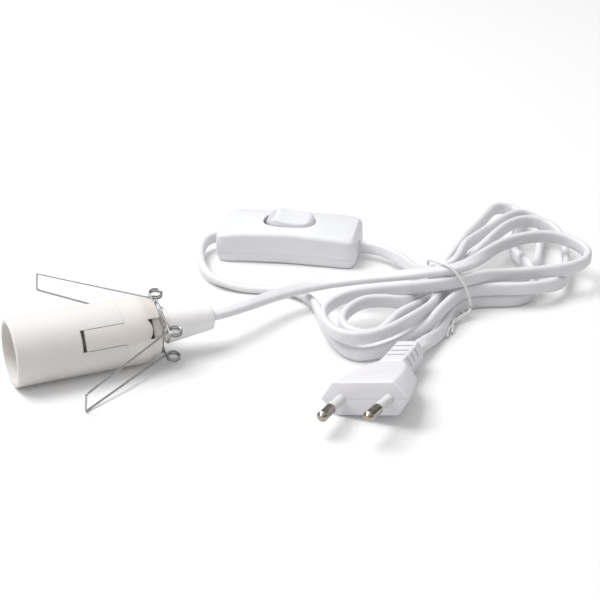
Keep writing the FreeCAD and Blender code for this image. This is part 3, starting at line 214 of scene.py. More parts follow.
# The tie's wire: round the hank's waist, then its two ends, twisted together at the front.
TIE_RING = [
    (0.1402, 0.0060, 0.0010),
    (0.1395, 0.0062, 0.0080),
    (0.1375, 0.0052, 0.0160),
    (0.1350, -0.0010, 0.0200),
    (0.1350, -0.0070, 0.0211),
    (0.1368, -0.0110, 0.0214),
    (0.1384, -0.0140, 0.0205),
    (0.1405, -0.0162, 0.0175),
    (0.1425, -0.0187, 0.0135),
    (0.1438, -0.0200, 0.0090),
    (0.1444, -0.0203, 0.0040),
    (0.1428, -0.0192, 0.0007),
]
TIE_TAILS = (
    [
        (0.1444, -0.0203, 0.0040),
        (0.1418, -0.0212, 0.0018),
        (0.1388, -0.0220, 0.0032),
        (0.1360, -0.0234, 0.0012),
        (0.1336, -0.0252, 0.0034),
        (0.1316, -0.0284, 0.0018),
        (0.1302, -0.0306, 0.0010),
    ],
    [
        (0.1438, -0.0208, 0.0022),
        (0.1412, -0.0210, 0.0036),
        (0.1384, -0.0228, 0.0012),
        (0.1354, -0.0228, 0.0030),
        (0.1326, -0.0258, 0.0014),
        (0.1290, -0.0300, 0.0034),
        (0.1268, -0.0328, 0.0010),
    ],
)
TIE_RADIUS = 0.00062


class CordLook(bpy.types.PropertyGroup):
    """Sizes and colour of the flat twin cord."""

    width: bpy.props.FloatProperty(
        name="Width", description="Across the cord's flat side", default=0.0056, unit="LENGTH"
    )
    thickness: bpy.props.FloatProperty(
        name="Thickness", description="Between the flat sides", default=0.0032, unit="LENGTH"
    )
    colour: bpy.props.FloatVectorProperty(
        name="Sheath",
        description="Colour of the sheath",
        default=(0.795, 0.792, 0.812),
        subtype="COLOR",
    )


class HousingLook(bpy.types.PropertyGroup):
    """Colours of the moulded parts."""

    holder: bpy.props.FloatVectorProperty(
        name="Holder",
        description="Warm white of the holder",
        default=(0.80, 0.773, 0.75),
        subtype="COLOR",
    )
    cap: bpy.props.FloatVectorProperty(
        name="Cap",
        description="Warm white of the holder's rear cap",
        default=(0.83, 0.785, 0.745),
        subtype="COLOR",
    )
    switch: bpy.props.FloatVectorProperty(
        name="Switch",
        description="Cool white of the switch",
        default=(0.82, 0.825, 0.855),
        subtype="COLOR",
    )
    plug: bpy.props.FloatVectorProperty(
        name="Plug",
        description="Cool white of the plug",
        default=(0.80, 0.785, 0.825),
        subtype="COLOR",
    )


class SwitchLook(bpy.types.PropertyGroup):
    """Sizes of the inline switch."""

    length: bpy.props.FloatProperty(
        name="Length", description="End to end", default=0.0620, unit="LENGTH"
    )
    end_width: bpy.props.FloatProperty(
        name="Width", description="Across the ends", default=0.0330, unit="LENGTH"
    )
    waist: bpy.props.FloatProperty(
        name="Waist", description="How far each side draws in", default=0.0023, unit="LENGTH"
    )
    end_height: bpy.props.FloatProperty(
        name="End height", description="Height at the ends", default=0.0128, unit="LENGTH"
    )
    crown: bpy.props.FloatProperty(
        name="Crown", description="Rise of the top at the middle", default=0.0016, unit="LENGTH"
    )
    foot_arch: bpy.props.FloatProperty(
        name="Foot arch", description="Rise of the foot", default=0.0006, unit="LENGTH"
    )
    rocker_length: bpy.props.FloatProperty(
        name="Rocker length", description="Along the switch", default=0.0214, unit="LENGTH"
    )
    rocker_width: bpy.props.FloatProperty(
        name="Rocker width", description="Across the switch", default=0.0156, unit="LENGTH"
    )
    rocker_low: bpy.props.FloatProperty(
        name="Dish height", description="Middle of the rocker's dish", default=0.0169, unit="LENGTH"
    )


class StageLook(bpy.types.PropertyGroup):
    """Floor, lamps and camera of the studio."""

    floor: bpy.props.FloatVectorProperty(
        name="Floor", description="Colour of the floor", default=(0.78, 0.78, 0.78), subtype="COLOR"
    )
    sky: bpy.props.FloatProperty(
        name="Surrounding light",
        description="Strength of the light from overhead",
        default=0.7,
        min=0.0,
    )
    key: bpy.props.FloatProperty(
        name="Main lamp",
        description="Power of the lamp behind the set",
        default=18.3,
        min=0.0,
        unit="POWER",
    )
    fill: bpy.props.FloatProperty(
        name="Front lamp",
        description="Power of the lamp in front",
        default=0.6,
        min=0.0,
        unit="POWER",
    )


def link_up(tree, source, target):
    """Joins two sockets of a material."""
    tree.links.new(source, target)


def bare_material(name):
    """A new material, its tree and its shader."""
    material = bpy.data.materials.new(name)
    material.use_nodes = True
    tree = material.node_tree
    return material, tree, tree.nodes["Principled BSDF"]


def math_node(tree, operation, first, *values):
    """One step of arithmetic: the first value is a socket, the others sockets or numbers."""
    node = tree.nodes.new("ShaderNodeMath")
    node.operation = operation
    link_up(tree, first, node.inputs[0])
    for place, value in zip(node.inputs[1:], values):
        if isinstance(value, float):
            place.default_value = value
        else:
            link_up(tree, value, place)
    return node.outputs[0]


def place_noise(tree, scale, detail=2.0):
    """Noise that stays with the piece; its factor output."""
    where = tree.nodes.new("ShaderNodeTexCoord")
    noise = tree.nodes.new("ShaderNodeTexNoise")
    noise.inputs["Scale"].default_value = scale
    noise.inputs["Detail"].default_value = detail
    link_up(tree, where.outputs["Object"], noise.inputs["Vector"])
    return noise.outputs[0]


def spread(tree, value, low, high):
    """Maps 0.3 to 0.7 of a noise to low and high."""
    span = tree.nodes.new("ShaderNodeMapRange")
    span.inputs["From Min"].default_value = 0.3
    span.inputs["From Max"].default_value = 0.7
    span.inputs["To Min"].default_value = low
    span.inputs["To Max"].default_value = high
    link_up(tree, value, span.inputs["Value"])
    return span.outputs["Result"]


def colour_mix(tree, factor):
    """A mix of two colours; its two colour inputs and its result."""
    mix = tree.nodes.new("ShaderNodeMix")
    mix.data_type = "RGBA"
    link_up(tree, factor, mix.inputs["Factor"])
    first, second = [place for place in mix.inputs if place.type == "RGBA"]
    result = [place for place in mix.outputs if place.type == "RGBA"][0]
    return first, second, result


def two_tone(tree, value, dark, light):
    """Colour between dark and light as a noise says."""
    first, second, result = colour_mix(tree, value)
    first.default_value = (*dark, 1)
    second.default_value = (*light, 1)
    return result


def roughen(tree, shader, value, depth):
    """Fine relief from a noise."""
    bump = tree.nodes.new("ShaderNodeBump")
    bump.inputs["Distance"].default_value = depth
    link_up(tree, value, bump.inputs["Height"])
    link_up(tree, bump.outputs["Normal"], shader.inputs["Normal"])


CLOUD_SCALE = 90.0
SHEEN_SCALE = 340.0
GLOSS_SWING = 0.05
PLASTIC_IOR = 1.48
TARNISH_SCALE = 420.0
TARNISH_SHADE = 0.86
WEAR_SCALE = 2600.0
WEAR_DEPTH = 0.00002


def moulded(name, colour, roughness, grain, depth, mottle=0.97):
    """Moulded plastic: faint clouding, fine grain and uneven gloss."""
    material, tree, shader = bare_material(name)
    clouds = place_noise(tree, CLOUD_SCALE, 3.0)
    dark = [c * mottle for c in colour]
    tone = two_tone(tree, spread(tree, clouds, 0.0, 1.0), dark, colour)
    link_up(tree, tone, shader.inputs["Base Color"])
    sheen = place_noise(tree, SHEEN_SCALE)
    gloss = spread(tree, sheen, roughness - GLOSS_SWING, roughness + GLOSS_SWING)
    link_up(tree, gloss, shader.inputs["Roughness"])
    roughen(tree, shader, place_noise(tree, grain, 3.0), depth)
    shader.inputs["IOR"].default_value = PLASTIC_IOR
    return material


def metal(name, colour, roughness):
    """Bare or plated metal: uneven gloss, fine wear and small colour shifts."""
    material, tree, shader = bare_material(name)
    tarnish = place_noise(tree, TARNISH_SCALE, 3.0)
    dark = [c * TARNISH_SHADE for c in colour]
    tone = two_tone(tree, spread(tree, tarnish, 0.0, 1.0), dark, colour)
    link_up(tree, tone, shader.inputs["Base Color"])
    gloss = spread(tree, tarnish, roughness * 0.75, roughness * 1.35)
    link_up(tree, gloss, shader.inputs["Roughness"])
    roughen(tree, shader, place_noise(tree, WEAR_SCALE), WEAR_DEPTH)
    shader.inputs["Metallic"].default_value = 1.0
    return material


def coat_node(name, material):
    """Gives a node of the model its finish."""
    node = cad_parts[name]
    if not node.material_slots:
        node.data.materials.append(material)
    for place in node.material_slots:
        place.material = material


def dress(piece, material):
    """Gives a new piece its one material."""
    piece.data.materials.clear()
    piece.data.materials.append(material)


def link_piece(name, data):
    """A new object for a mesh, curve, lamp or camera, at the origin."""
    piece = bpy.data.objects.new(name, data)
    bpy.context.scene.collection.objects.link(piece)
    return piece


def route_curve(name, route, resolution=8):
    """NURBS curve through a cord's route, its ribbon kept upright."""
    curve = bpy.data.curves.new(name, "CURVE")
    curve.dimensions = "3D"
    curve.resolution_u = resolution
    curve.twist_mode = "Z_UP"
    spline = curve.splines.new("NURBS")
    spline.points.add(len(route) - 1)
    for point, place in zip(spline.points, route):
        point.co = (*place[:3], 1.0)
        point.tilt = radians(place[3]) if len(place) > 3 else 0.0
    spline.order_u = 3
    spline.use_endpoint_u = True
    spline.use_smooth = True
    return curve


def route_line(curve):
    """Points of the bare curve, in order."""
    bare = bpy.data.objects.new(curve.name + "_line", curve)
    mesh = bpy.data.meshes.new_from_object(bare)
    line = [tuple(v.co) for v in mesh.vertices]
    bpy.data.meshes.remove(mesh)
    bpy.data.objects.remove(bare)
    return line


def flat_section(width, thickness, steps=8):
    """Closed outline of the cord: two flats and two round edges."""
    outline = bpy.data.curves.new("cord_section", "CURVE")
    outline.dimensions = "2D"
    spline = outline.splines.new("POLY")
    radius = thickness / 2
    reach = width / 2 - radius
    places = []
    for side in (1, -1):
        for step in range(steps + 1):
            angle = -pi / 2 + pi * step / steps + (0 if side > 0 else pi)
            places.append((side * reach + radius * cos(angle), radius * sin(angle)))
    spline.points.add(len(places) - 1)
    for point, (x, y) in zip(spline.points, places):
        point.co = (x, y, 0.0, 1.0)
    spline.use_cyclic_u = True
    return bpy.data.objects.new("cord_section", outline)


def ribbon(name, route, width, thickness):
    """Flat cord along a route; the piece and the line that it follows."""
    curve = route_curve(name, route)
    line = route_line(curve)
    section = flat_section(width, thickness)
    bpy.context.scene.collection.objects.link(section)
    curve.bevel_mode = "OBJECT"
    curve.bevel_object = section
    curve.use_fill_caps = True
    drawn = link_piece(name + "_drawn", curve)
    bpy.context.view_layer.update()
    graph = bpy.context.evaluated_depsgraph_get()
    mesh = bpy.data.meshes.new_from_object(drawn.evaluated_get(graph))
    bpy.data.objects.remove(drawn)
    bpy.data.objects.remove(section)
    mesh.name = name
    return link_piece(name, mesh), line


def ring(mesh, shape, count=72):
    """One closed row of edges; shape gives each point from its place on a unit circle."""
    made = bmesh.ops.create_circle(mesh, cap_ends=False, segments=count, radius=1.0)
    for vertex in made["verts"]:
        vertex.co = shape(vertex.co.x, vertex.co.y)
    return list({edge for vertex in made["verts"] for edge in vertex.link_edges})


def soft_box(x, y, half_x, half_y, power):
    """A point of an outline between ellipse and rectangle; a high power has tight corners."""
    along = abs(x) ** (2 / power) * (half_x if x > 0 else -half_x)
    across = abs(y) ** (2 / power) * (half_y if y > 0 else -half_y)
    return along, across


def skin(mesh, rows):
    """Joins rows of edges in turn and closes the first and the last."""
    for lower, upper in zip(rows, rows[1:]):
        bmesh.ops.bridge_loops(mesh, edges=lower + upper)
    for end in (rows[0], rows[-1]):
        bmesh.ops.edgeloop_fill(mesh, edges=end)


def settle(mesh, name, place, sharp):
    """Turns the faces outwards, puts the shape in its place and makes it a piece."""
    bmesh.ops.transform(mesh, matrix=place, verts=mesh.verts)
    bmesh.ops.recalc_face_normals(mesh, faces=mesh.faces)
    for face in mesh.faces:
        face.smooth = True
    data = bpy.data.meshes.new(name)
    mesh.to_mesh(data)
    mesh.free()
    data.set_sharp_from_angle(angle=radians(sharp))
    return link_piece(name, data)


def length_of(line):
    """Length along a line of points."""
    return sum((Vector(b) - Vector(a)).length for a, b in zip(line, line[1:]))


class CORDSET_OT_cords(bpy.types.Operator):
    """Lay both cords."""

    bl_idname = "cordset.cords"
    bl_label = "Cords"

    def execute(self, context):
        look = context.scene.cordset_cord
        sheath = moulded("cord_sheath", look.colour, 0.42, 1800.0, 0.00003)
        lamp, lamp_line = ribbon("lamp_cord", LAMP_ROUTE, look.width, look.thickness)
        mains, mains_line = ribbon("mains_cord", MAINS_ROUTE, look.width, look.thickness)
        for piece in (lamp, mains):
            dress(piece, sheath)
            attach(piece, "cord_set")
        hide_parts("holder_lead", "switch_left_lead", "cord_hank")
        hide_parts("switch_right_lead", "plug_lead", "cord_hank")
        print("cord lengths", round(length_of(lamp_line), 3), round(length_of(mains_line), 3))
        return {"FINISHED"}


class CORDSET_OT_tie(bpy.types.Operator):
    """Wind the tie round the hank."""

    bl_idname = "cordset.tie"
    bl_label = "Tie"

    def execute(self, context):
        ring_curve = route_curve("hank_tie", TIE_RING, 6)
        ring_curve.splines[0].use_endpoint_u = False
        ring_curve.splines[0].use_cyclic_u = True
        curves = [ring_curve] + [route_curve("tie_tail", tail, 6) for tail in TIE_TAILS]
        whole = bmesh.new()
        for curve in curves:
            curve.bevel_depth = TIE_RADIUS
            curve.bevel_resolution = 4
            curve.use_fill_caps = True
            drawn = bpy.data.objects.new("tie_drawn", curve)
            mesh = bpy.data.meshes.new_from_object(drawn)
            whole.from_mesh(mesh)
            bpy.data.objects.remove(drawn)
            bpy.data.meshes.remove(mesh)
        tie = settle(whole, "hank_tie", Matrix(), 60.0)
        dress(tie, moulded("tie_coat", (0.82, 0.82, 0.83), 0.35, 3000.0, 0.00002))
        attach(tie, "cord_set")
        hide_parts("twist_tie")
        return {"FINISHED"}


SWITCH_PLACE = (
    Matrix.Translation((0.10375, 0.07035, 0.0)) @ Matrix.Rotation(radians(-32.5), 4, "Z")
)
ROCKER_PLACE = (
    Matrix.Translation((0.10295, 0.069551, 0.0)) @ Matrix.Rotation(radians(-32.6), 4, "Z")
)
PIVOT_HEIGHT = 0.0096
ROCKER_SHIFT = 0.0019
# Height and inset of the case's lowest rows, in metres.
CASE_FOOT = [(0.0, 0.0014), (0.0003, 0.0009), (0.0012, 0.0006)]
CASE_POWER = 9.0
SEAM_HEIGHT = 0.0041
SEAM_REACH = 0.0002
SEAM_DEPTH = 0.0002
SEAM_LIP = 0.00005
WALL_TURN = 0.0062
EDGE_START = 0.0022
EDGE_DRAFT = 0.00025
EDGE_ROUNDING = 0.0021
CUSHION = 0.0005
RIM_BAND = 0.0001
WINDOW_POWER = 2.7
WINDOW_GAP_ALONG = 0.0010
WINDOW_GAP_ACROSS = 0.0004
WINDOW_SHIFT_ALONG = 0.00025
WINDOW_SHIFT_ACROSS = 0.0011
WINDOW_LIP = 0.00045
WINDOW_CHAMFER = 0.0003
WELL_FLOOR = 0.0085
# Inset and drop of the rocker's upper rows, from its rim inwards.
ROCKER_ROWS = [
    (0.0, 0.0011),
    (0.00015, 0.0005),
    (0.0006, 0.0001),
    (0.0012, 0.0),
    (0.0026, 0.0),
    (0.0042, 0.0),
    (0.0058, 0.0),
]
DISH_CURVE = 12.5
END_DROP = 0.0032
RIGHT_RUN = 0.0030
LEFT_RUN = 0.0050
REST_TILT = 7.0
# Pitch, strength, start and breadth of the painted rib shade on the rocker's left slope.
RIB_PITCH = 0.00085
RIB_SHADE_SHARE = 0.6
RIB_START = -0.0060
RIB_REACH = 0.0060
# Half breadth of the painted seam shade on the plug.
SEAM_SHADE_REACH = 0.00009


def own_axes(tree, place):
    """The X, Y and Z of a point along a piece's own axes."""
    where = tree.nodes.new("ShaderNodeTexCoord")
    turn = tree.nodes.new("ShaderNodeMapping")
    back = place.inverted()
    turn.inputs["Location"].default_value = back.to_translation()
    turn.inputs["Rotation"].default_value = back.to_euler("XYZ")
    parts = tree.nodes.new("ShaderNodeSeparateXYZ")
    link_up(tree, where.outputs["Object"], turn.inputs["Vector"])
    link_up(tree, turn.outputs["Vector"], parts.inputs[0])
    return parts.outputs


def tinted(material, factor, colour):
    """Blends a colour over a material's own where factor is 1."""
    tree = material.node_tree
    base = tree.nodes["Principled BSDF"].inputs["Base Color"]
    own = base.links[0].from_socket
    first, second, result = colour_mix(tree, factor)
    link_up(tree, own, first)
    second.default_value = (*colour, 1.0)
    link_up(tree, result, base)
    return material


def paint_rib_shade(material):
    """Painted shade: fine dark stripes across the rocker's left slope, standing in for the shade in
    its ribs' grooves.
    """
    tree = material.node_tree
    x, y, _ = own_axes(tree, ROCKER_PLACE)
    wave = math_node(tree, "SINE", math_node(tree, "MULTIPLY", x, 2 * pi / RIB_PITCH))
    painted_groove_shade = math_node(tree, "MULTIPLY", math_node(tree, "GREATER_THAN", wave, 0.1), RIB_SHADE_SHARE)
    slope = math_node(tree, "LESS_THAN", x, RIB_START)
    breadth = math_node(tree, "COMPARE", y, ROCKER_SHIFT, RIB_REACH)
    here = math_node(tree, "MULTIPLY", math_node(tree, "MULTIPLY", slope, breadth), painted_groove_shade)
    # The dark grey is painted shade of the rib grooves; the rocker's shape has no ribs.
    return tinted(material, here, (0.25, 0.25, 0.26))


def paint_seam_shade(material, place):
    """Painted shade: a faint dark line round the middle height of a piece, standing in for the
    shade along the mould's seam.
    """
    tree = material.node_tree
    z = own_axes(tree, place)[2]
    line = math_node(tree, "MULTIPLY", math_node(tree, "COMPARE", z, 0.0, SEAM_SHADE_REACH), 0.5)
    # The dark grey is painted seam shade, not the plastic's own colour.
    return tinted(material, line, (0.3, 0.3, 0.31))


# Distances along the holder from the origin, between which painted light brightens the cap's neck.
NECK_LIGHT_START = 0.018
NECK_LIGHT_FULL = 0.0225


def paint_neck_light(material):
    """Painted light: lightens the cap's neck, standing in for the light that its tapered shape
    catches.
    """
    tree = material.node_tree
    x = own_axes(tree, Matrix())[0]
    fade = tree.nodes.new("ShaderNodeMapRange")
    fade.inputs["From Min"].default_value = NECK_LIGHT_START
    fade.inputs["From Max"].default_value = NECK_LIGHT_FULL
    link_up(tree, x, fade.inputs["Value"])
    # The pale tint is painted light, not the cap's own colour.
    return tinted(material, fade.outputs["Result"], (0.93, 0.915, 0.91))


class CORDSET_OT_switch(bpy.types.Operator):
    """Shape the switch's waisted case and its dished rocker."""

    bl_idname = "cordset.switch"
    bl_label = "Switch"

    def case_point(self, look, x, y, level, inset):
        """A point of the case's outside: waisted sides, arched top and foot."""
        half_length = look.length / 2
        half_width = look.end_width / 2
        along, across = soft_box(x, y, half_length - inset, half_width - inset, CASE_POWER)
        middle = 1 - (along / half_length) ** 2
        across *= 1 - middle * look.waist / half_width
        arch = look.foot_arch + (look.crown - look.foot_arch) * level / look.end_height
        height = level + middle * arch
        if level > look.end_height - RIM_BAND:
            height += CUSHION * (1 - (across / half_width) ** 2)
        return Vector((along, across, height))

    def window_point(self, look, x, y, level, inset):
        """A point of the rocker's window."""
        half_x = look.rocker_length / 2 + WINDOW_GAP_ALONG - inset
        half_y = look.rocker_width / 2 + WINDOW_GAP_ACROSS - inset
        along, across = soft_box(x, y, half_x, half_y, WINDOW_POWER)
        return Vector(
            (along - WINDOW_SHIFT_ALONG, across + ROCKER_SHIFT - WINDOW_SHIFT_ACROSS, level)
        )

    def case(self, look):
        """Closed case with a well for the rocker."""
        mesh = bmesh.new()
        high = look.end_height
        steps = CASE_FOOT + [
            (SEAM_HEIGHT - SEAM_REACH, SEAM_LIP),
            (SEAM_HEIGHT, SEAM_DEPTH),
            (SEAM_HEIGHT + SEAM_REACH, 0.0),
            (WALL_TURN, 0.0),
            (high - EDGE_START, EDGE_DRAFT),
        ]
        for part in range(1, 7):
            angle = part * pi / 12
            inset = EDGE_DRAFT + EDGE_ROUNDING * (1 - cos(angle))
            steps.append((high - EDGE_ROUNDING * (1 - sin(angle)), inset))
        top = high + look.crown + WINDOW_LIP
        well = [(top, 0.0), (top - WINDOW_CHAMFER, WINDOW_CHAMFER), (WELL_FLOOR, WINDOW_CHAMFER)]
        rows = []
        for point, levels in ((self.case_point, steps), (self.window_point, well)):
            for level, inset in levels:
                rows.append(ring(mesh, lambda x, y: point(look, x, y, level, inset)))
        skin(mesh, rows)
        return settle(mesh, "switch_case", SWITCH_PLACE, 40.0)

    def rocker_top(self, along, look):
        """Height of the rocker's dish and of its sloping ends."""
        run = RIGHT_RUN if along > 0 else LEFT_RUN
        ridge = look.rocker_length / 2 - run
        if abs(along) < ridge:
            return look.rocker_low + DISH_CURVE * along * along
        slope = (abs(along) - ridge) / run
        return look.rocker_low + DISH_CURVE * ridge * ridge - END_DROP * slope * slope

    def rocker(self, look):
        """Dished rocker with its left end up."""
        mesh = bmesh.new()
        half_length = look.rocker_length / 2
        half_width = look.rocker_width / 2

        def row(inset, drop, floor=None):
            """A row at a set height, or at a drop below the dish."""

            def place(x, y):
                along, across = soft_box(
                    x, y, half_length - inset, half_width - inset, WINDOW_POWER
                )
                height = floor if floor is not None else self.rocker_top(along, look) - drop
                return Vector((along, across + ROCKER_SHIFT, height - PIVOT_HEIGHT))

            return ring(mesh, place)

        rows = [row(0.0012, 0.0, 0.0098), row(0.0002, 0.0, 0.0125)]
        rows += [row(inset, drop) for inset, drop in ROCKER_ROWS]
        skin(mesh, rows)
        lift = Matrix.Translation((0.0, 0.0, PIVOT_HEIGHT))
        tilt = lift @ Matrix.Rotation(radians(REST_TILT), 4, "Y")
        return settle(mesh, "switch_rocker", ROCKER_PLACE @ tilt, 50.0)

    def execute(self, context):
        look = context.scene.cordset_switch
        colour = context.scene.cordset_housing.switch
        shell = moulded("switch_moulding", colour, 0.38, 1600.0, 0.00003)
        case = self.case(look)
        rocker = self.rocker(look)
        case.data.materials.append(shell)
        dished = moulded("rocker_moulding", colour, 0.38, 1600.0, 0.00003)
        # The rocker's finish carries painted shade of its rib grooves.
        rocker.data.materials.append(paint_rib_shade(dished))
        for piece, body in ((case, "cord_set"), (rocker, "rocker")):
            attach(piece, body)
        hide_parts("switch_cover", "switch_base", "case_screws")
        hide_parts("rocker")
        return {"FINISHED"}


PLUG_PLACE = (
    Matrix.Translation((0.06885, -0.078949, 0.0089))
    @ Matrix.Rotation(radians(-48.0), 4, "Z")
    @ Matrix.Rotation(radians(-5.8), 4, "X")
    @ Matrix.Rotation(radians(-12.4), 4, "Y")
)
# Depth from the face, width, flat width, height and lift of the plug's sections, in metres.
PLUG_SECTIONS = [
    (0.0, 0.0353, 0.0237, 0.0130, 0.0),
    (0.0122, 0.0294, 0.0206, 0.0111, 0.0),
    (0.0196, 0.0260, 0.0178, 0.0103, 0.0),
    (0.0251, 0.0196, 0.0134, 0.0100, 0.0),
    (0.0295, 0.0128, 0.0082, 0.0096, 0.0),
]
RELIEF_SECTIONS = [
    (0.0270, 0.0138, 0.0094, 0.0100, 0.0),
    (0.0295, 0.0134, 0.0092, 0.0100, 0.0002),
    (0.0380, 0.0128, 0.0090, 0.0094, 0.0010),
    (0.0452, 0.0122, 0.0086, 0.0088, 0.0021),
    (0.0462, 0.0112, 0.0078, 0.0080, 0.0023),
]
PLUG_ROUNDING = 0.0008
RELIEF_ROUNDING = 0.0007
CORNER_SINE = 0.8660254
SHARP_EDGE = 24
SLOT_COUNT = 3
SLOT_PITCH = 0.0042
SLOT_LENGTH = 0.0015
SLOT_DEPTH = 0.0014
# Depth of the first slot across the flats, and of the first one at the sides.
FLAT_SLOT = 0.0322
SIDE_SLOT = 0.0308
LEAST_AREA = 0.0000018


class CORDSET_OT_plug(bpy.types.Operator):
    """Shape the flat moulded plug and its slotted strain relief."""

    bl_idname = "cordset.plug"
    bl_label = "Plug"

    def six_sides(self, mesh, section):
        """One six-sided row at its depth."""
        depth, width, flat, height, lift = section

        def corner(x, y):
            if abs(x) < 0.1:
                return Vector((y * width / 2, depth, lift))
            return Vector((y * flat, depth, lift + x / CORNER_SINE * height / 2))

        return ring(mesh, corner, 6)

    def moulding(self, sections, rounding):
        """A closed six-sided body with rounded edges."""
        mesh = bmesh.new()
        skin(mesh, [self.six_sides(mesh, section) for section in sections])
        bmesh.ops.recalc_face_normals(mesh, faces=mesh.faces)
        sharp = radians(SHARP_EDGE)
        edges = [edge for edge in mesh.edges if edge.calc_face_angle(0.0) > sharp]
        bmesh.ops.bevel(
            mesh,
            geom=edges,
            offset=rounding,
            offset_type="OFFSET",
            segments=3,
            profile=0.5,
            affect="EDGES",
            material=-1,
            clamp_overlap=True,
        )
        return mesh

    def cut_slots(self, mesh, start, on_flats):
        """One row of slots from a depth on: above and below, or at both sides."""
        end = start + SLOT_LENGTH
        for depth in (start, end):
            bmesh.ops.bisect_plane(
                mesh,
                geom=mesh.verts[:] + mesh.edges[:] + mesh.faces[:],
                plane_co=(0.0, depth, 0.0),
                plane_no=(0.0, 1.0, 0.0),
            )
        mesh.normal_update()
        faces = []
        for face in mesh.faces:
            wide = face.calc_area() > LEAST_AREA
            between = start < face.calc_center_median().y < end
            flat = abs(face.normal.z) > 0.9
            if wide and between and flat == on_flats and abs(face.normal.y) < 0.5:
                faces.append(face)
        if faces:
            bmesh.ops.inset_individual(mesh, faces=faces, thickness=0.0003, depth=0.0)
            bmesh.ops.inset_individual(mesh, faces=faces, thickness=0.0001, depth=-SLOT_DEPTH)

    def slots(self, mesh):
        """Short slots across the relief, in turn on its flats and at its sides."""
        for step in range(SLOT_COUNT):
            self.cut_slots(mesh, FLAT_SLOT + SLOT_PITCH * step, True)
            self.cut_slots(mesh, SIDE_SLOT + SLOT_PITCH * step, False)

    def execute(self, context):
        colour = context.scene.cordset_housing.plug
        body = self.moulding(PLUG_SECTIONS, PLUG_ROUNDING)
        relief = self.moulding(RELIEF_SECTIONS, RELIEF_ROUNDING)
        self.slots(relief)
        spare = bpy.data.meshes.new("relief")
        relief.to_mesh(spare)
        relief.free()
        body.from_mesh(spare)
        bpy.data.meshes.remove(spare)
        piece = settle(body, "plug_moulding", PLUG_PLACE, 38.0)
        plastic = moulded("plug_plastic", colour, 0.42, 1300.0, 0.00004)
        # The plug's finish carries a painted seam shade.
        piece.data.materials.append(paint_seam_shade(plastic, PLUG_PLACE))
        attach(piece, "cord_set")
        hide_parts("plug_body")
        return {"FINISHED"}


class CORDSET_OT_finishes(bpy.types.Operator):
    """Give the listed nodes of the model their finishes."""

    bl_idname = "cordset.finishes"
    bl_label = "Finishes"

    def execute(self, context):
        look = context.scene.cordset_housing
        holder = moulded("holder_moulding", look.holder, 0.5, 1500.0, 0.00004)
        # The cap's finish carries painted light on its neck.
        cap = paint_neck_light(moulded("cap_moulding", look.cap, 0.5, 1500.0, 0.00004))
        switch = moulded("switch_inside", look.switch, 0.45, 1600.0, 0.00003)
        plug = moulded("plug_inside", look.plug, 0.45, 1300.0, 0.00004)
        sleeve = moulded("pin_sleeve", (0.72, 0.72, 0.72), 0.4, 2000.0, 0.00002)
        cores = moulded("core_insulation", (0.12, 0.22, 0.5), 0.45, 2000.0, 0.00003, 0.9)
        insulator = moulded("insulator", (0.62, 0.58, 0.5), 0.6, 1200.0, 0.00006, 0.93)
        brass = metal("brass", (0.83, 0.62, 0.27), 0.3)
        steel = metal("plated_steel", (0.72, 0.7, 0.67), 0.28)
        wire = metal("spring_wire", (0.43, 0.435, 0.44), 0.15)
        pins = metal("pin_plating", (0.42, 0.385, 0.34), 0.22)
        finishes = {
            holder: ["front_shell"],
            cap: ["rear_cap"],
            switch: [
                "switch_base",
                "switch_cover",
                "rocker",
                "left_cord_clamp",
                "right_cord_clamp",
            ],
            plug: ["plug_body"],
            sleeve: ["sleeve_left", "sleeve_right"],
            cores: ["core_wires"],
            insulator: ["contact_base"],
            brass: [
                "screw_shell",
                "centre_contact",
                "holder_terminals",
                "contact_blade",
                "fixed_contacts",
                "switch_terminals",
            ],
            steel: [
                "holder_terminal_screws",
                "switch_terminal_screws",
                "clamp_screws",
                "case_screws",
            ],
            wire: ["near_clip_arm", "near_clip_frame", "far_clip_arm", "far_clip_frame"],
            pins: ["pin_left", "pin_right"],
        }
        for material, names in finishes.items():
            for name in names:
                coat_node(name, material)
        return {"FINISHED"}


FLOOR_HALF = 3.0
FLOOR_GLOW = 0.09
# Place and size of the lamps, and the point that they face.
KEY_LAMP = ((-0.5, 0.38, 1.25), 1.0)
FILL_LAMP = ((-0.5, -1.1, 0.9), 0.8)
LAMP_AIM = (0.08, 0.0, 0.0)
SIDE_SHARE = 0.12
CAMERA_PLACE = (-0.14998, -0.52701, 0.28203)
CAMERA_TURN = (64.8, 0.0, -23.4)
CAMERA_LENS = 96.0


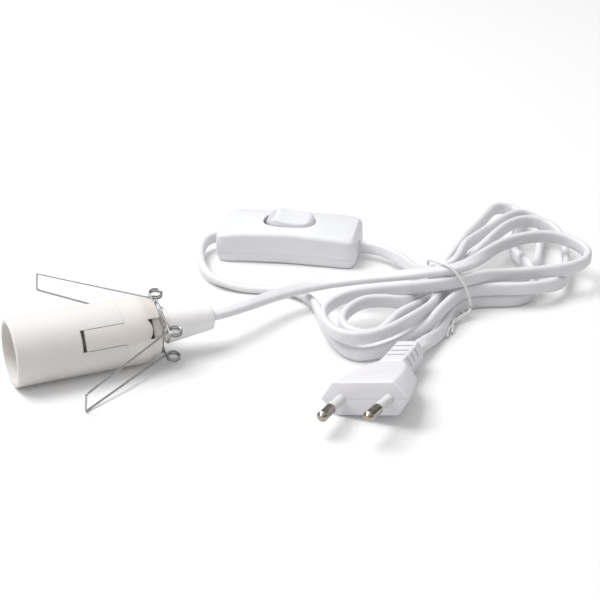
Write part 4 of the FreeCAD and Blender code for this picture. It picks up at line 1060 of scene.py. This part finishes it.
class CORDSET_OT_stage(bpy.types.Operator):
    """Set the floor, the lamps and the camera."""

    bl_idname = "cordset.stage"
    bl_label = "Studio"

    def execute(self, context):
        look = context.scene.cordset_stage
        floor_shape = bmesh.new()
        bmesh.ops.create_grid(floor_shape, x_segments=1, y_segments=1, size=FLOOR_HALF)
        mesh = bpy.data.meshes.new("floor")
        floor_shape.to_mesh(mesh)
        floor_shape.free()
        floor = link_piece("floor", mesh)
        floor.data.materials.append(self.floor_material(look.floor))
        self.world(context, look.sky)
        self.lamp("key_lamp", *KEY_LAMP, look.key)
        self.lamp("fill_lamp", *FILL_LAMP, look.fill)
        self.camera(context)
        context.scene.view_settings.view_transform = "Standard"
        return {"FINISHED"}

    def floor_material(self, colour):
        """Matt floor that shows pure white where no shadow falls."""
        material = bpy.data.materials.new("floor")
        material.use_nodes = True
        tree = material.node_tree
        tree.nodes.clear()
        matt = tree.nodes.new("ShaderNodeBsdfDiffuse")
        matt.inputs["Color"].default_value = (*colour, 1)
        glow = tree.nodes.new("ShaderNodeEmission")
        rays = tree.nodes.new("ShaderNodeLightPath").outputs
        seen = math_node(tree, "MAXIMUM", rays["Is Camera Ray"], rays["Is Glossy Ray"])
        seen = math_node(tree, "MAXIMUM", seen, rays["Is Transmission Ray"])
        strength = math_node(tree, "MULTIPLY", seen, FLOOR_GLOW)
        both = tree.nodes.new("ShaderNodeAddShader")
        out = tree.nodes.new("ShaderNodeOutputMaterial")
        link_up(tree, strength, glow.inputs["Strength"])
        link_up(tree, matt.outputs[0], both.inputs[0])
        link_up(tree, glow.outputs[0], both.inputs[1])
        link_up(tree, both.outputs[0], out.inputs["Surface"])
        return material

    def world(self, context, strength):
        """White light, strong from overhead and weak from the sides."""
        world = bpy.data.worlds.new("studio")
        world.use_nodes = True
        tree = world.node_tree
        around = tree.nodes["Background"]
        around.inputs["Color"].default_value = (1, 1, 1, 1)
        where = tree.nodes.new("ShaderNodeTexCoord")
        height = tree.nodes.new("ShaderNodeSeparateXYZ")
        fade = tree.nodes.new("ShaderNodeMapRange")
        fade.inputs["From Min"].default_value = 0.15
        fade.inputs["From Max"].default_value = 0.75
        fade.inputs["To Min"].default_value = strength * SIDE_SHARE
        fade.inputs["To Max"].default_value = strength
        link_up(tree, where.outputs["Generated"], height.inputs[0])
        link_up(tree, height.outputs["Z"], fade.inputs["Value"])
        link_up(tree, fade.outputs["Result"], around.inputs["Strength"])
        context.scene.world = world

    def lamp(self, name, place, size, power):
        """Square lamp that faces the middle of the set."""
        light = bpy.data.lights.new(name, "AREA")
        light.size = size
        light.energy = power
        lamp = link_piece(name, light)
        lamp.location = place
        aim = Vector(LAMP_AIM) - Vector(place)
        lamp.rotation_euler = aim.to_track_quat("-Z", "Y").to_euler()

    def camera(self, context):
        """The photo's view."""
        view = bpy.data.cameras.new("camera")
        view.lens = CAMERA_LENS
        view.sensor_width = 36.0
        view.clip_start = 0.01
        camera = link_piece("camera", view)
        camera.location = CAMERA_PLACE
        camera.rotation_euler = [radians(angle) for angle in CAMERA_TURN]
        context.scene.camera = camera


class CORDSET_PT_panel(bpy.types.Panel):
    """Steps and settings of the cord set."""

    bl_idname = "CORDSET_PT_panel"
    bl_label = "Cord set"
    bl_space_type = "VIEW_3D"
    bl_region_type = "UI"
    bl_category = "Cord set"

    def draw(self, context):
        for group in GROUPS:
            settings = getattr(context.scene, group)
            box = self.layout.box()
            for name in settings.__annotations__:
                box.prop(settings, name)
        for step in STEPS:
            self.layout.operator(step.bl_idname)


GROUPS = {
    "cordset_cord": CordLook,
    "cordset_housing": HousingLook,
    "cordset_switch": SwitchLook,
    "cordset_stage": StageLook,
}
STEPS = (
    CORDSET_OT_stage,
    CORDSET_OT_switch,
    CORDSET_OT_plug,
    CORDSET_OT_cords,
    CORDSET_OT_tie,
    CORDSET_OT_finishes,
)


def register():
    """Adds the settings, steps and panel."""
    for name, group in GROUPS.items():
        bpy.utils.register_class(group)
        setattr(bpy.types.Scene, name, bpy.props.PointerProperty(type=group))
    for step in STEPS:
        bpy.utils.register_class(step)
    bpy.utils.register_class(CORDSET_PT_panel)


def unregister():
    """Takes them away again."""
    bpy.utils.unregister_class(CORDSET_PT_panel)
    for step in reversed(STEPS):
        bpy.utils.unregister_class(step)
    for name, group in GROUPS.items():
        delattr(bpy.types.Scene, name)
        bpy.utils.unregister_class(group)


def main():
    """Runs the steps in order."""
    register()
    bpy.ops.cordset.stage()
    bpy.ops.cordset.switch()
    bpy.ops.cordset.plug()
    bpy.ops.cordset.cords()
    bpy.ops.cordset.tie()
    bpy.ops.cordset.finishes()


if __name__ == "__main__":
    main()
